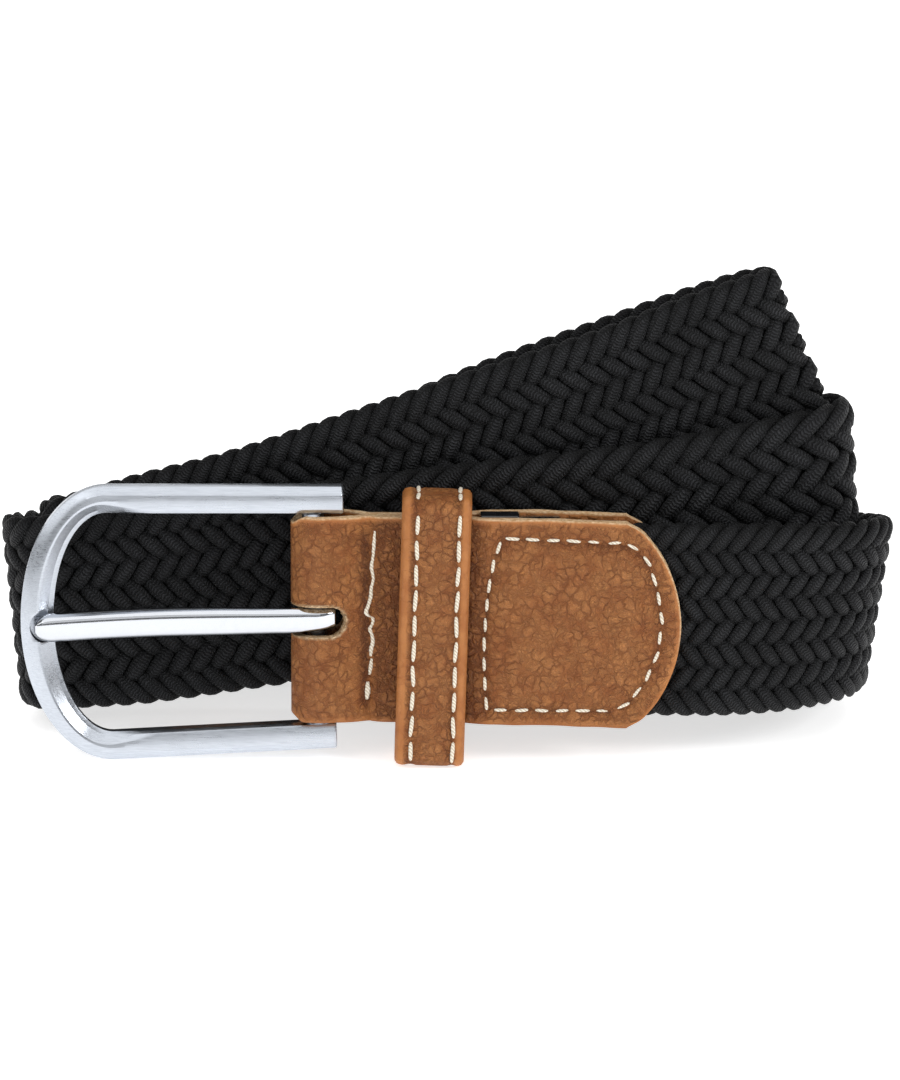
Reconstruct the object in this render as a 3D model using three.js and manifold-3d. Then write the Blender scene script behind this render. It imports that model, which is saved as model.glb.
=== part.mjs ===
// A braided stretch belt, rolled up in three turns and standing on its edge, with its buckle in front.
// Millimetres, +Z up. X runs along the roll to the right, Y away from the viewer.
// The roll is built upright with its front strand in the XZ plane, and a group then leans it back.
import * as THREE from "three";
import { mergeVertices } from "three/addons/utils/BufferGeometryUtils.js";
import Module from "manifold-3d";

// Driving sizes
const BRAID_W = 33; // width of the braided strap
const BRAID_T = 3.2; // its thickness
const BRAID_EDGE = 0.8; // how far its long edges are rounded
const TURN_GAP = 0.5; // air between strands that lie side by side
const REACH = 70; // middle of the roll to the middle of the strap at the outermost bends
const ROLL_LEAN = 8.5; // degrees that the roll leans back

const LEAF_T = 1.5; // one leaf of the leather tab
const TAB_W = 35; // width of the tab
const TAB_LENGTH = 60.2; // buckle bar to the round end of the tab
const TAB_END_DEPTH = 7.9; // how far the round end bulges
const POCKET_START = 26.5; // buckle bar to the end of the braid inside the tab
const POCKET_RISE = 2.5; // how soon the leaves part before it and level out past it
const STITCH_AT = 9; // buckle bar to the seam that pinches the leaves
const SEAM_W = 3; // width of the dip on either side of that seam
const FIT = 0.3; // clearance between neighbouring pieces

const BAR_X = -21.8; // the buckle bar, from the middle of the roll
const BAR_D = 3.6; // thickness of the buckle bar
const BUCKLE_TURN = 1.5; // degrees that buckle and prong droop to the left
const EYE_R = BAR_D / 2 + 0.8; // room for the bar inside the fold

const FRAME_H = 44; // outer height of the buckle at its bar
const FRAME_FLARE = 1.9; // how much taller it is where its arms end
const FRAME_LENGTH = 48.7; // bar to the far outer edge
const FRAME_ARM = 4; // width of an arm, seen from the front
const FRAME_CURVE = 5.4; // width of the curved end, seen from the front
const FRAME_T = 4; // thickness from front to back
const FRAME_STUB = 4; // how far the arms run on past the bar
const FRAME_ROUND = 14.7; // length of the rounded end
const FRAME_BEVEL = 0.9;

const PRONG_W = 4.7;
const PRONG_T = 2.7;
const PRONG_LOOP = 1.3; // wall of the loop round the bar
const PRONG_LENGTH = 46.4; // bar to the prong's tip
const PRONG_BEVEL = 0.7;
const SLOT_LENGTH = 5.2; // bar to the end of the slot in the tab

const KEEPER_X = -2.4; // middle of the keeper
const KEEPER_W = 11.5;
const KEEPER_T = 2.3;
const KEEPER_ABOVE = 3.9; // how far it stands above the tab
const KEEPER_BELOW = 6.5; // and below it
const KEEPER_TURN = 1.8; // degrees that its top leans to the right
const KEEPER_ROUND = 3;

const TIP_W = 34.4;
const TIP_LEAF = 1; // one leaf of the leather tip
const TIP_LENGTH = 24;
const TIP_POCKET = 8; // how far the braid reaches into the tip
const TIP_PRESSED = 1.8; // thickness of the braid inside the tip
const TIP_TAPER = 5; // length in which the tip's leaves meet past the braid's end

const FLOOR_CLEAR = 0.2; // buckle to the surface that the belt stands on
const BEND_STEP = 13; // degrees between sections in a bend
const STRAIGHT_STEP = 14; // longest section of a straight strand
const END_STEP = 2.5; // and near the inner end, where the strap is pressed thin
const ROUND_STEPS = 10; // segments of a round outline

const LAYER = BRAID_T + TURN_GAP;
const TAB_PINCHED = LEAF_T + 0.15; // half the thickness of the two leaves together
const KEEPER_HALF = TAB_PINCHED + 2 * FIT + KEEPER_T;
const STUB_SWING = Math.hypot(FRAME_STUB, FRAME_T / 2);
const STEP_BACK = Math.max(KEEPER_HALF, STUB_SWING) + TURN_GAP + BRAID_T / 2; // front strand to the next
const POCKET_HALF = BRAID_T / 2 + FIT;
const TAB_HALF = POCKET_HALF + LEAF_T;
const FOLD_R = EYE_R + LEAF_T; // outside of the fold round the bar
const SEAM_HALF = TAB_PINCHED - 0.3; // half the thickness at the seam's groove
const PRONG_BACK = PRONG_T - BAR_D / 2 - FIT - PRONG_LOOP; // the shank's back face, in front of the bar's axis

// Height of the bar over the surface: the keeper stands on it, and the buckle stays clear of it.
const radians = THREE.MathUtils.degToRad;
const lean = radians(ROLL_LEAN);
const KEEPER_REACH = TAB_W / 2 + KEEPER_BELOW;
const FRAME_REACH = (FRAME_H + FRAME_FLARE) / 2 + FRAME_LENGTH * Math.sin(radians(BUCKLE_TURN));
const BAR_Z = Math.max(
  (KEEPER_REACH - KEEPER_ROUND + (KEEPER_W / 2) * Math.sin(radians(KEEPER_TURN))) * Math.cos(lean) +
    (KEEPER_HALF - KEEPER_ROUND) * Math.sin(lean) +
    KEEPER_ROUND,
  FRAME_REACH * Math.cos(lean) + FLOOR_CLEAR
);

// The strap's route, a row for each station, in the order in which the strap runs from the tab inwards.
// along: share of REACH. inset: layers towards the middle, which nest the bends in each other.
// back: share of STEP_BACK. layer: strands behind the second one. height: share of BRAID_W.
// floor: 1 where the strand stands on the surface. side, tilt: degrees that its top leans right and back.
const ROUTE = [
  ["along", "inset", "back", "layer", "height", "floor", "side", "tilt"],
  // front strand and first bend on the right
  [0.072, 0, 0, 0, 0, 0, 0, 0],
  [0.4, 0, 0, 0, -0.008, 0, 0, 0],
  [0.7, 0, 0.015, 0, -0.009, 0, 0, 0],
  [1, -2.7, 0.29, 0, -0.006, 0, 1.5, -6],
  [1, -0.65, 0.93, 0, -0.006, 0, 5, -11],
  [1, 0.03, 1, 1.46, -0.022, 0, 7.8, -14],
  [1, -0.05, 1, 2.6, -0.052, 0, 6.5, -12.5],
  [1, -0.65, 1, 3.73, -0.085, 0, 5, -11],
  [1, -1.78, 1, 4.75, 0.018, 1, 3, -9.5],
  [1, -3.5, 1, 5.35, 0.009, 1, 1, -ROLL_LEAN],
  // back strand, standing on its edge
  [0.66, 0, 1, 5.73, 0.003, 1, 0, -ROLL_LEAN],
  [0.43, 0, 1, 5.78, 0.0005, 1, 0, -ROLL_LEAN],
  [0.18, 0, 1, 5.78, 0, 1, 0, -ROLL_LEAN],
  [-0.18, 0, 1, 5.78, 0, 1, 0, -ROLL_LEAN],
  [-0.43, 0, 1, 5.78, 0.0005, 1, 0, -ROLL_LEAN],
  [-0.63, 0, 1, 5.73, 0.003, 1, 0, -ROLL_LEAN],
  // first bend on the left
  [-1, 4.3, 1, 5.4, 0.012, 1, -2, -8],
  [-1, 2.05, 1, 4.62, 0.025, 1, -6, -7],
  [-1, 0.6, 1, 3.3, -0.09, 0, -8.5, -6],
  [-1, 0.16, 1, 2.1, -0.073, 0, -9, -5],
  [-1, 0.49, 1, 0.97, -0.061, 0, -9, -3],
  [-1, 1.57, 1, 0.24, -0.033, 0, -8.5, -1],
  // second strand, rising to the right
  [-0.786, 0, 1, 0, 0.006, 0, -8, 0],
  [-0.62, 0, 1, 0, 0.052, 0, -8.5, 0],
  [-0.41, 0, 1, 0, 0.118, 0, -9, 0],
  [-0.2, 0, 1, 0, 0.158, 0, -9, 0],
  [0.054, 0, 1, 0, 0.227, 0, -8.5, 0],
  [0.337, 0, 1, 0, 0.297, 0, -8.5, 0],
  [0.53, 0, 1, 0, 0.355, 0, -9.5, 0],
  [0.72, 0, 1, 0, 0.433, 0, -11, 0],
  // second bend on the right
  [1, -3.1, 1, 0.05, 0.482, 0, -10, 0],
  [1, -1.57, 1, 0.64, 0.512, 0, -4, 0],
  [1, -0.95, 1, 1.62, 0.521, 0, -1.5, 0],
  [1, -1.54, 1, 2.62, 0.515, 0, -3, 0],
  [1, -3.1, 1, 3.28, 0.494, 0, -6, 0],
  // its way back
  [0.714, 0, 1, 3.35, 0.455, 0, -8, 0],
  [0.4, 0, 1, 3.35, 0.333, 0, -10, 0],
  [-0.286, 0, 1, 3.35, 0.121, 0, -9, 0],
  [-0.714, 0, 1, 3.35, 0.012, 0, -9, 0],
  // second bend on the left
  [-1, 2.7, 1, 3.08, -0.009, 0, -9, 0],
  [-1, 1.7, 1, 2.46, -0.015, 0, -9, 0],
  [-1, 1.7, 1, 1.73, -0.012, 0, -9, 0],
  [-1, 2.7, 1, 1.16, 0.039, 0, -11, 0],
  // third strand, the steepest
  [-0.7, 0, 1, 1.03, 0.145, 0, -15, 0],
  [-0.443, 0, 1, 1.03, 0.291, 0, -17, 0],
  [-0.186, 0, 1, 1.03, 0.476, 0, -18, 0],
  [0.114, 0, 1, 1.03, 0.694, 0, -19, 0],
  [0.43, 0, 1, 1.03, 0.918, 0, -19, 0],
  [0.67, 0, 1, 1.03, 1.118, 0, -19, 0],
  // third bend on the right, and the inner end
  [0.93, -3, 1, 1.13, 1.197, 0, -17, 0],
  [0.93, -2, 1, 1.62, 1.23, 0, -15.5, 0],
  [0.93, -3, 1, 2.16, 1.197, 0, -17, 0],
  [0.67, 0, 1, 2.22, 1.121, 0, -19, 0],
  [0.43, 0, 1, 2.22, 0.936, 0, -19, 0],
  [0.2, 0, 1, 2.22, 0.755, 0, -18.5, 0],
  [-0.143, 0, 1, 2.22, 0.452, 0, -18, 0],
  [-0.543, 0, 1, 2.22, 0.121, 0, -14, 0],
];

const wasm = await Module();
wasm.setup();

// A closed three.js geometry as a solid that can be joined and cut.
function solidOf(geometry) {
  const bare = geometry.index ? geometry.toNonIndexed() : geometry.clone();
  bare.deleteAttribute("normal");
  bare.deleteAttribute("uv");
  const merged = mergeVertices(bare, 1e-4);
  return new wasm.Manifold(
    new wasm.Mesh({
      numProp: 3,
      vertProperties: merged.attributes.position.array,
      triVerts: new Uint32Array(merged.index.array),
    })
  );
}

function geometryOf(solid) {
  const mesh = solid.getMesh();
  const geometry = new THREE.BufferGeometry();
  geometry.setAttribute("position", new THREE.BufferAttribute(mesh.vertProperties, 3));
  geometry.setIndex(new THREE.BufferAttribute(mesh.triVerts, 1));
  geometry.computeVertexNormals();
  return geometry;
}

// A piece with its name, shape and finish.
function piece(name, geometry, color, roughness, metalness) {
  const material = new THREE.MeshStandardMaterial({ color, roughness, metalness });
  const mesh = new THREE.Mesh(geometry, material);
  mesh.name = name;
  return mesh;
}

// An outline in the XY plane, pulled up by a height and centred on it.
function pulled(shape, height, options = {}) {
  const geometry = new THREE.ExtrudeGeometry(shape, {
    depth: height,
    bevelEnabled: false,
    curveSegments: ROUND_STEPS,
    ...options,
  });
  return geometry.translate(0, 0, -height / 2);
}

// Turns a shape drawn in XY and pulled along Z so that its drawing faces the viewer.
function facing(geometry) {
  return geometry.rotateX(Math.PI / 2);
}

// The named rows of the route, as records.
function stations() {
  const [names, ...rows] = ROUTE;
  return rows.map((row) => Object.fromEntries(names.map((name, i) => [name, row[i]])));
}

// The two long edges of the strap as smooth rails, one point for each station.
function rails() {
  const top = [];
  const bottom = [];
  for (const s of stations()) {
    const x = s.along * REACH + s.inset * LAYER;
    const y = s.back * STEP_BACK + s.layer * LAYER;
    const standing = (BRAID_W / 2 - BAR_Z + y * Math.sin(lean)) / Math.cos(lean);
    const middle = new THREE.Vector3(x, y, s.height * BRAID_W + s.floor * standing);
    const half = new THREE.Vector3(
      Math.tan(radians(s.side)),
      Math.tan(radians(s.tilt)),
      1
    ).setLength(BRAID_W / 2);
    top.push(middle.clone().add(half));
    bottom.push(middle.clone().sub(half));
  }
  return [top, bottom].map((points) => new THREE.CatmullRomCurve3(points, false, "chordal"));
}

// Where the strap's sections lie along its rails, close together in the bends.
function sectionPlaces(top, bottom) {
  const last = top.points.length - 1;
  const at = (t) => top.getPoint(t / last).add(bottom.getPoint(t / last)).multiplyScalar(0.5);
  const direction = (t) => at(Math.min(last, t + 0.02)).sub(at(Math.max(0, t - 0.02)));
  const places = [];
  for (let i = 0; i < last; i++) {
    const turn = THREE.MathUtils.radToDeg(direction(i).angleTo(direction(i + 1)));
    const run = at(i).distanceTo(at(i + 1));
    const longest = i === last - 1 ? END_STEP : STRAIGHT_STEP;
    const steps = Math.max(1, Math.ceil(turn / BEND_STEP), Math.ceil(run / longest));
    for (let k = 0; k < steps; k++) places.push((i + k / steps) / last);
  }
  places.push(1);
  return places;
}

// Half the strap's thickness, pressed thin where its inner end lies in the tip.
function halfThickness(fromEnd) {
  const pressed = THREE.MathUtils.smoothstep(fromEnd, TIP_POCKET, TIP_POCKET + TIP_TAPER);
  return THREE.MathUtils.lerp(TIP_PRESSED / 2, BRAID_T / 2, pressed);
}

// The strap: a flat section with rounded edges, carried along the two rails.
function strapSections() {
  const [top, bottom] = rails();
  const places = sectionPlaces(top, bottom);
  const edges = places.map((t) => [top.getPoint(t), bottom.getPoint(t)]);
  const middles = edges.map(([a, b]) => a.clone().add(b).multiplyScalar(0.5));
  let fromEnd = 0;
  return middles
    .map((middle, i) => {
      const before = middles[Math.max(0, i - 1)];
      const after = middles[Math.min(middles.length - 1, i + 1)];
      const forward = after.clone().sub(before).normalize();
      const across = edges[i][0].clone().sub(edges[i][1]);
      const out = forward.clone().cross(across).normalize();
      return { middle, forward, across: across.normalize(), half: edges[i][0].distanceTo(middle), out };
    })
    .reverse()
    .map((section, i, all) => {
      if (i > 0) fromEnd += section.middle.distanceTo(all[i - 1].middle);
      return { ...section, thick: halfThickness(fromEnd) };
    })
    .reverse();
}

function braidStrap(sections) {
  const position = [];
  for (const s of sections) {
    const cut = Math.min(BRAID_EDGE, s.thick * 0.6);
    const ring = [
      [s.half, s.thick - cut],
      [s.half - cut, s.thick],
      [cut - s.half, s.thick],
      [-s.half, s.thick - cut],
      [-s.half, cut - s.thick],
      [cut - s.half, -s.thick],
      [s.half - cut, -s.thick],
      [s.half, cut - s.thick],
    ];
    for (const [v, n] of ring) {
      position.push(
        s.middle.clone().addScaledVector(s.across, v).addScaledVector(s.out, n)
      );
    }
  }
  const sides = 8;
  const index = [];
  for (let i = 0; i + 1 < sections.length; i++) {
    for (let k = 0; k < sides; k++) {
      const a = i * sides + k;
      const b = i * sides + ((k + 1) % sides);
      index.push(a, b, a + sides, b, b + sides, a + sides);
    }
  }
  const end = (sections.length - 1) * sides;
  for (let k = 1; k + 1 < sides; k++) {
    index.push(0, k + 1, k);
    index.push(end, end + k, end + k + 1);
  }
  const geometry = new THREE.BufferGeometry().setFromPoints(position);
  geometry.setIndex(index);
  geometry.computeVertexNormals();
  return geometry;
}

// The strap's outline as the viewer sees the tab: straight edges and a bulging end.
function tabOutline() {
  const half = TAB_W / 2;
  const radius = (half ** 2 + TAB_END_DEPTH ** 2) / (2 * TAB_END_DEPTH);
  const angle = Math.asin(half / radius);
  const outline = new THREE.Shape();
  outline.moveTo(-2 * FOLD_R, half);
  outline.lineTo(-2 * FOLD_R, -half);
  outline.absarc(TAB_LENGTH - radius, 0, radius, -angle, angle, false);
  return outline;
}

// The tab from above: one leather strip folded round the bar, pinched by a seam, open where it holds the braid.
function tabSection() {
  const section = new THREE.Shape();
  const open = POCKET_START + POCKET_RISE;
  const shut = POCKET_START - POCKET_RISE;
  const end = TAB_LENGTH + TAB_END_DEPTH;
  const leave = radians(60);
  const [foldX, foldY] = [FOLD_R * Math.cos(leave), FOLD_R * Math.sin(leave)];
  const [pastFold, belowFold] = [foldX + FOLD_R / 2, foldY - FOLD_R / 7];
  const [beforeSeam, pastSeam] = [STITCH_AT - 0.8 * SEAM_W, STITCH_AT + SEAM_W / 3];
  section.moveTo(end, TAB_HALF);
  section.lineTo(open, TAB_HALF);
  section.bezierCurveTo(POCKET_START, TAB_HALF, POCKET_START, TAB_PINCHED, shut, TAB_PINCHED);
  section.lineTo(STITCH_AT + SEAM_W, TAB_PINCHED);
  section.quadraticCurveTo(pastSeam, TAB_PINCHED, STITCH_AT, SEAM_HALF);
  section.bezierCurveTo(beforeSeam, SEAM_HALF, pastFold, belowFold, foldX, foldY);
  section.absarc(0, 0, FOLD_R, leave, 2 * Math.PI - leave, false);
  section.bezierCurveTo(pastFold, -belowFold, beforeSeam, -SEAM_HALF, STITCH_AT, -SEAM_HALF);
  section.quadraticCurveTo(pastSeam, -TAB_PINCHED, STITCH_AT + SEAM_W, -TAB_PINCHED);
  section.lineTo(shut, -TAB_PINCHED);
  section.bezierCurveTo(POCKET_START, -TAB_PINCHED, POCKET_START, -TAB_HALF, open, -TAB_HALF);
  section.lineTo(end, -TAB_HALF);
  section.lineTo(end, -POCKET_HALF);
  section.lineTo(POCKET_START, -POCKET_HALF);
  section.lineTo(POCKET_START, POCKET_HALF);
  section.lineTo(end, POCKET_HALF);
  const eye = new THREE.Path();
  const close = radians(50);
  eye.moveTo(beforeSeam, 0);
  eye.lineTo(EYE_R * Math.cos(close), EYE_R * Math.sin(close));
  eye.absarc(0, 0, EYE_R, close, 2 * Math.PI - close, false);
  section.holes.push(eye);
  return section;
}

// A slot with a round end, drawn as the viewer sees it, from the left as far as an end.
function slotOutline(end, width) {
  const outline = new THREE.Shape();
  outline.moveTo(end - width / 2, width / 2);
  outline.lineTo(-FRAME_LENGTH, width / 2);
  outline.lineTo(-FRAME_LENGTH, -width / 2);
  outline.absarc(end - width / 2, 0, width / 2, -Math.PI / 2, Math.PI / 2, false);
  return outline;
}

function buckleTab() {
  const folded = solidOf(pulled(tabSection(), TAB_W + 2));
  const outline = solidOf(facing(pulled(tabOutline(), 4 * FOLD_R)));
  const slot = solidOf(facing(pulled(slotOutline(SLOT_LENGTH, PRONG_W + 2 * FIT), 4 * FOLD_R)));
  return geometryOf(folded.intersect(outline).subtract(slot));
}

// The keeper: a leather loop, drawn as seen along the belt.
function keeper() {
  const roundRect = (path, halfY, low, high, r) => {
    path.moveTo(halfY, low + r);
    path.absarc(halfY - r, high - r, r, 0, Math.PI / 2, false);
    path.absarc(r - halfY, high - r, r, Math.PI / 2, Math.PI, false);
    path.absarc(r - halfY, low + r, r, Math.PI, 1.5 * Math.PI, false);
    path.absarc(halfY - r, low + r, r, 1.5 * Math.PI, 2 * Math.PI, false);
  };
  const low = -KEEPER_REACH;
  const high = TAB_W / 2 + KEEPER_ABOVE;
  const loop = new THREE.Shape();
  roundRect(loop, KEEPER_HALF, low, high, KEEPER_ROUND);
  const inside = new THREE.Path();
  const inner = KEEPER_HALF - KEEPER_T;
  roundRect(inside, inner, low + KEEPER_T, high - KEEPER_T, Math.min(inner, KEEPER_ROUND) * 0.6);
  loop.holes.push(inside);
  const along = pulled(loop, KEEPER_W, { curveSegments: 5 });
  return along.rotateX(Math.PI / 2).rotateZ(Math.PI / 2);
}

// The buckle's outline: two arms that flare to the left and meet in a half ellipse.
function frameOutline() {
  const atStub = FRAME_H / 2 - (FRAME_FLARE / 2) * (FRAME_STUB / FRAME_LENGTH);
  const atRound = (FRAME_H + FRAME_FLARE) / 2;
  const start = FRAME_ROUND - FRAME_LENGTH;
  const outline = new THREE.Shape();
  outline.moveTo(FRAME_STUB, atStub - FRAME_ARM);
  outline.lineTo(FRAME_STUB, atStub);
  outline.absellipse(start, 0, FRAME_ROUND, atRound, Math.PI / 2, 1.5 * Math.PI, false);
  outline.lineTo(FRAME_STUB, -atStub);
  outline.lineTo(FRAME_STUB, FRAME_ARM - atStub);
  outline.absellipse(
    start, 0, FRAME_ROUND - FRAME_CURVE, atRound - FRAME_ARM, 1.5 * Math.PI, Math.PI / 2, true
  );
  return outline;
}

// A blank with its edges broken all round, no larger than its outline.
function bevelled(shape, thickness, bevel, segments = 2) {
  return pulled(shape, thickness - 2 * bevel, {
    bevelEnabled: true,
    bevelThickness: bevel,
    bevelSize: bevel,
    bevelOffset: -bevel,
    bevelSegments: segments,
    curveSegments: 2 * ROUND_STEPS,
  });
}

function buckleFrame() {
  const loop = solidOf(facing(bevelled(frameOutline(), FRAME_T, FRAME_BEVEL)));
  const bar = new THREE.CylinderGeometry(BAR_D / 2, BAR_D / 2, FRAME_H - FRAME_ARM, 2 * ROUND_STEPS);
  const notch = slotOutline(0, PRONG_W + 2 * FIT);
  const notchCut = facing(pulled(notch, FRAME_T)).rotateZ(Math.PI);
  notchCut.translate(-PRONG_LENGTH - FIT, PRONG_BACK + FIT - FRAME_T / 2, 0);
  const clear = solidOf(notchCut);
  return geometryOf(loop.subtract(clear).add(solidOf(bar.rotateX(Math.PI / 2))));
}

// The prong: a loop round the bar and a shank with a round tip that lies in the buckle's notch.
function prong() {
  const inner = BAR_D / 2 + FIT;
  const outer = inner + PRONG_LOOP;
  const side = new THREE.Shape();
  side.moveTo(0, -outer);
  side.absarc(0, 0, outer, -Math.PI / 2, 0.8 * Math.PI, false);
  side.lineTo(-outer - 2, PRONG_BACK - 0.1);
  side.lineTo(-PRONG_LENGTH, PRONG_BACK);
  side.lineTo(-PRONG_LENGTH, PRONG_BACK - PRONG_T);
  const eye = new THREE.Path();
  eye.absarc(0, 0, inner, 0, 2 * Math.PI, true);
  side.holes.push(eye);
  const outline = slotOutline(PRONG_LENGTH, PRONG_W);
  const shank = solidOf(facing(bevelled(outline, 4 * outer, PRONG_BEVEL)).rotateZ(Math.PI));
  return geometryOf(solidOf(pulled(side, PRONG_W)).intersect(shank));
}

// The leather tip at the strap's inner end: two leaves with the pressed end of the braid between them.
function tipCover(section) {
  const half = TIP_W / 2;
  const end = TIP_LENGTH - TIP_POCKET;
  const outline = new THREE.Shape();
  outline.moveTo(-TIP_POCKET, half);
  outline.lineTo(-TIP_POCKET, -half);
  outline.absellipse(end - half / 2, 0, half / 2, half, -Math.PI / 2, Math.PI / 2, false);
  const inner = TIP_PRESSED / 2 + FIT;
  const outer = inner + TIP_LEAF;
  const leaves = new THREE.Shape();
  leaves.moveTo(FIT, inner);
  leaves.lineTo(-TIP_POCKET, inner);
  leaves.lineTo(-TIP_POCKET, outer);
  leaves.lineTo(FIT, outer);
  const [bend, meet] = [FIT + TIP_TAPER / 2, FIT + TIP_TAPER];
  leaves.bezierCurveTo(bend, outer, bend, TIP_LEAF, meet, TIP_LEAF);
  leaves.lineTo(end, TIP_LEAF);
  leaves.lineTo(end, -TIP_LEAF);
  leaves.lineTo(meet, -TIP_LEAF);
  leaves.bezierCurveTo(bend, -TIP_LEAF, bend, -outer, FIT, -outer);
  leaves.lineTo(-TIP_POCKET, -outer);
  leaves.lineTo(-TIP_POCKET, -inner);
  leaves.lineTo(FIT, -inner);
  const blank = solidOf(pulled(outline, 2 * outer));
  const cover = blank.intersect(solidOf(facing(pulled(leaves, TIP_W))));
  const place = new THREE.Matrix4().makeBasis(section.forward, section.across, section.out);
  return geometryOf(cover).applyMatrix4(place.setPosition(section.middle));
}

const sections = strapSections();
const strap = piece("braid_strap", braidStrap(sections), 0x16171a, 0.9, 0);
const tip = piece("tip_cover", tipCover(sections.at(-1)), 0xb2703c, 0.6, 0);
const tab = piece("buckle_tab", buckleTab(), 0xb2703c, 0.6, 0);
tab.position.x = BAR_X;
const loop = piece("keeper", keeper(), 0xb2703c, 0.6, 0);
loop.position.x = KEEPER_X;
loop.rotation.y = radians(KEEPER_TURN);

const buckle = new THREE.Group();
buckle.position.x = BAR_X;
buckle.rotation.y = -radians(BUCKLE_TURN);
buckle.add(piece("buckle_frame", buckleFrame(), 0xc6c9ce, 0.35, 1));
buckle.add(piece("prong", prong(), 0xd8dbe0, 0.15, 1));

// The roll leans back, and stands with the middle of its outline over the origin.
const roll = new THREE.Group();
roll.rotation.x = -lean;
roll.add(strap, tip, tab, loop, buckle);
const belt = new THREE.Group();
belt.add(roll);
const room = new THREE.Box3().setFromObject(belt, true);
const middle = room.getCenter(new THREE.Vector3());
roll.position.set(-middle.x, -middle.y, -room.min.z);

export default belt;
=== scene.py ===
"""Looks of a braided stretch belt, rolled up and standing on its edge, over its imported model.

Lengths are in millimetres until a piece is finished, then metres. X runs along the roll to the right,
Y away from the viewer and Z up. The front strand lies in the roll's own XZ plane, and the roll leans back.
"""
import math
import random

import bmesh
import bpy
import numpy as np
from mathutils import Matrix, Vector


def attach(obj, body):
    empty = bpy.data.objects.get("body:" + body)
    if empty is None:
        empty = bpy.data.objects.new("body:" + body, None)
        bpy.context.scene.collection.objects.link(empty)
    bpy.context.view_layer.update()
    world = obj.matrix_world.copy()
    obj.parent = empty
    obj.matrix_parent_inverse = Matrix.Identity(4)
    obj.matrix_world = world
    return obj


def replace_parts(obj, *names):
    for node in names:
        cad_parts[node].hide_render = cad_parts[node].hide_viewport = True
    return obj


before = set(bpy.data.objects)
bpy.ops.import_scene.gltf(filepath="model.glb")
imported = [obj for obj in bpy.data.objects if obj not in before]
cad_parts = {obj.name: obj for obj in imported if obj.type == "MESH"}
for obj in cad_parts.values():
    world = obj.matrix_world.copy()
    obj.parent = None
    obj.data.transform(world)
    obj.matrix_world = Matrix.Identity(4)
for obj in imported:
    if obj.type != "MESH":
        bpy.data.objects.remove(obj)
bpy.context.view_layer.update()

MM = 0.001
# What leather meshes tell their material: smooth rims, pale cut edges kept to the upper edges as painted
# light, and painted shade in folds and grooves.
LEATHER_MARKS = ("rim", "raw_and_lit_edge", "shade")

# Sizes, as in the model
BRAID_W = 33.0  # width of the braided strap
BRAID_T = 3.2  # its thickness
REACH = 70.0  # middle of the roll to the strap at the outermost bends
LAYER = 3.7  # one strand and the air beside it
STEP_BACK = 6.65  # front strand to the next
LEAN = 8.5  # degrees that the roll leans back
BAR_Z = 24.177  # height of the bar over the surface
ROLL_AT = (-0.14956, -10.60417, 24.18053)  # the roll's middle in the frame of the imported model
LEAF_T = 1.5  # one leaf of the leather tab
TAB_W = 35.0
TAB_LENGTH = 60.2  # buckle bar to the round end of the tab
TAB_END_DEPTH = 7.9  # how far the round end bulges
BAR_X = -21.8  # the bar, from the middle of the roll
BUCKLE_TURN = 1.5  # degrees that buckle and prong droop to the left
FRAME_H = 44.0  # height of the buckle at its bar
FRAME_FLARE = 1.9  # how much taller it is where its arms end
FRAME_LENGTH = 48.7  # bar to the far outer edge
FRAME_ARM = 4.35  # width of an arm, seen from the front
FRAME_CURVE = 5.4  # width of the curved end
FRAME_STUB = 4.0  # how far the arms run on past the bar
STUB_SKEW = 1.1  # the upper arm's end is further right than the lower one's
FRAME_ROUND = 14.7  # length of the rounded end
FRAME_SPREAD = 1.012  # the outer outline is this much taller than in the model
FRAME_RISE = 0.22  # and the upper arm this much higher
BAR_D = 3.6
BAR_IN_ARM = 0.25  # how far each end of the bar runs into an arm
PRONG_W = 4.7
PRONG_LENGTH = 46.4  # bar to the tip of the prong
PRONG_LOOP = 1.3  # wall of the loop round the bar
FIT = 0.3  # clearance between the loop and the bar
NOTCH_FIT = 0.45  # clearance between the prong and the notch
SLOT_LENGTH = 4.75  # bar to the end of the slot for the prong
SLOT_HALF = 2.55  # half its height
SLOT_UP = 0.15  # its middle above the middle of the tab
KEEPER_X = -2.4  # its middle, from the middle of the roll
KEEPER_W = 11.5
KEEPER_T = 2.3
KEEPER_HALF = 4.55  # half its depth
KEEPER_ABOVE = 3.9  # how far it stands above the tab
KEEPER_BELOW = 6.5  # and below it
KEEPER_TURN = 1.8  # degrees that its top leans to the right
KEEPER_ROUND = 3.0  # radius of its bends

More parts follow.
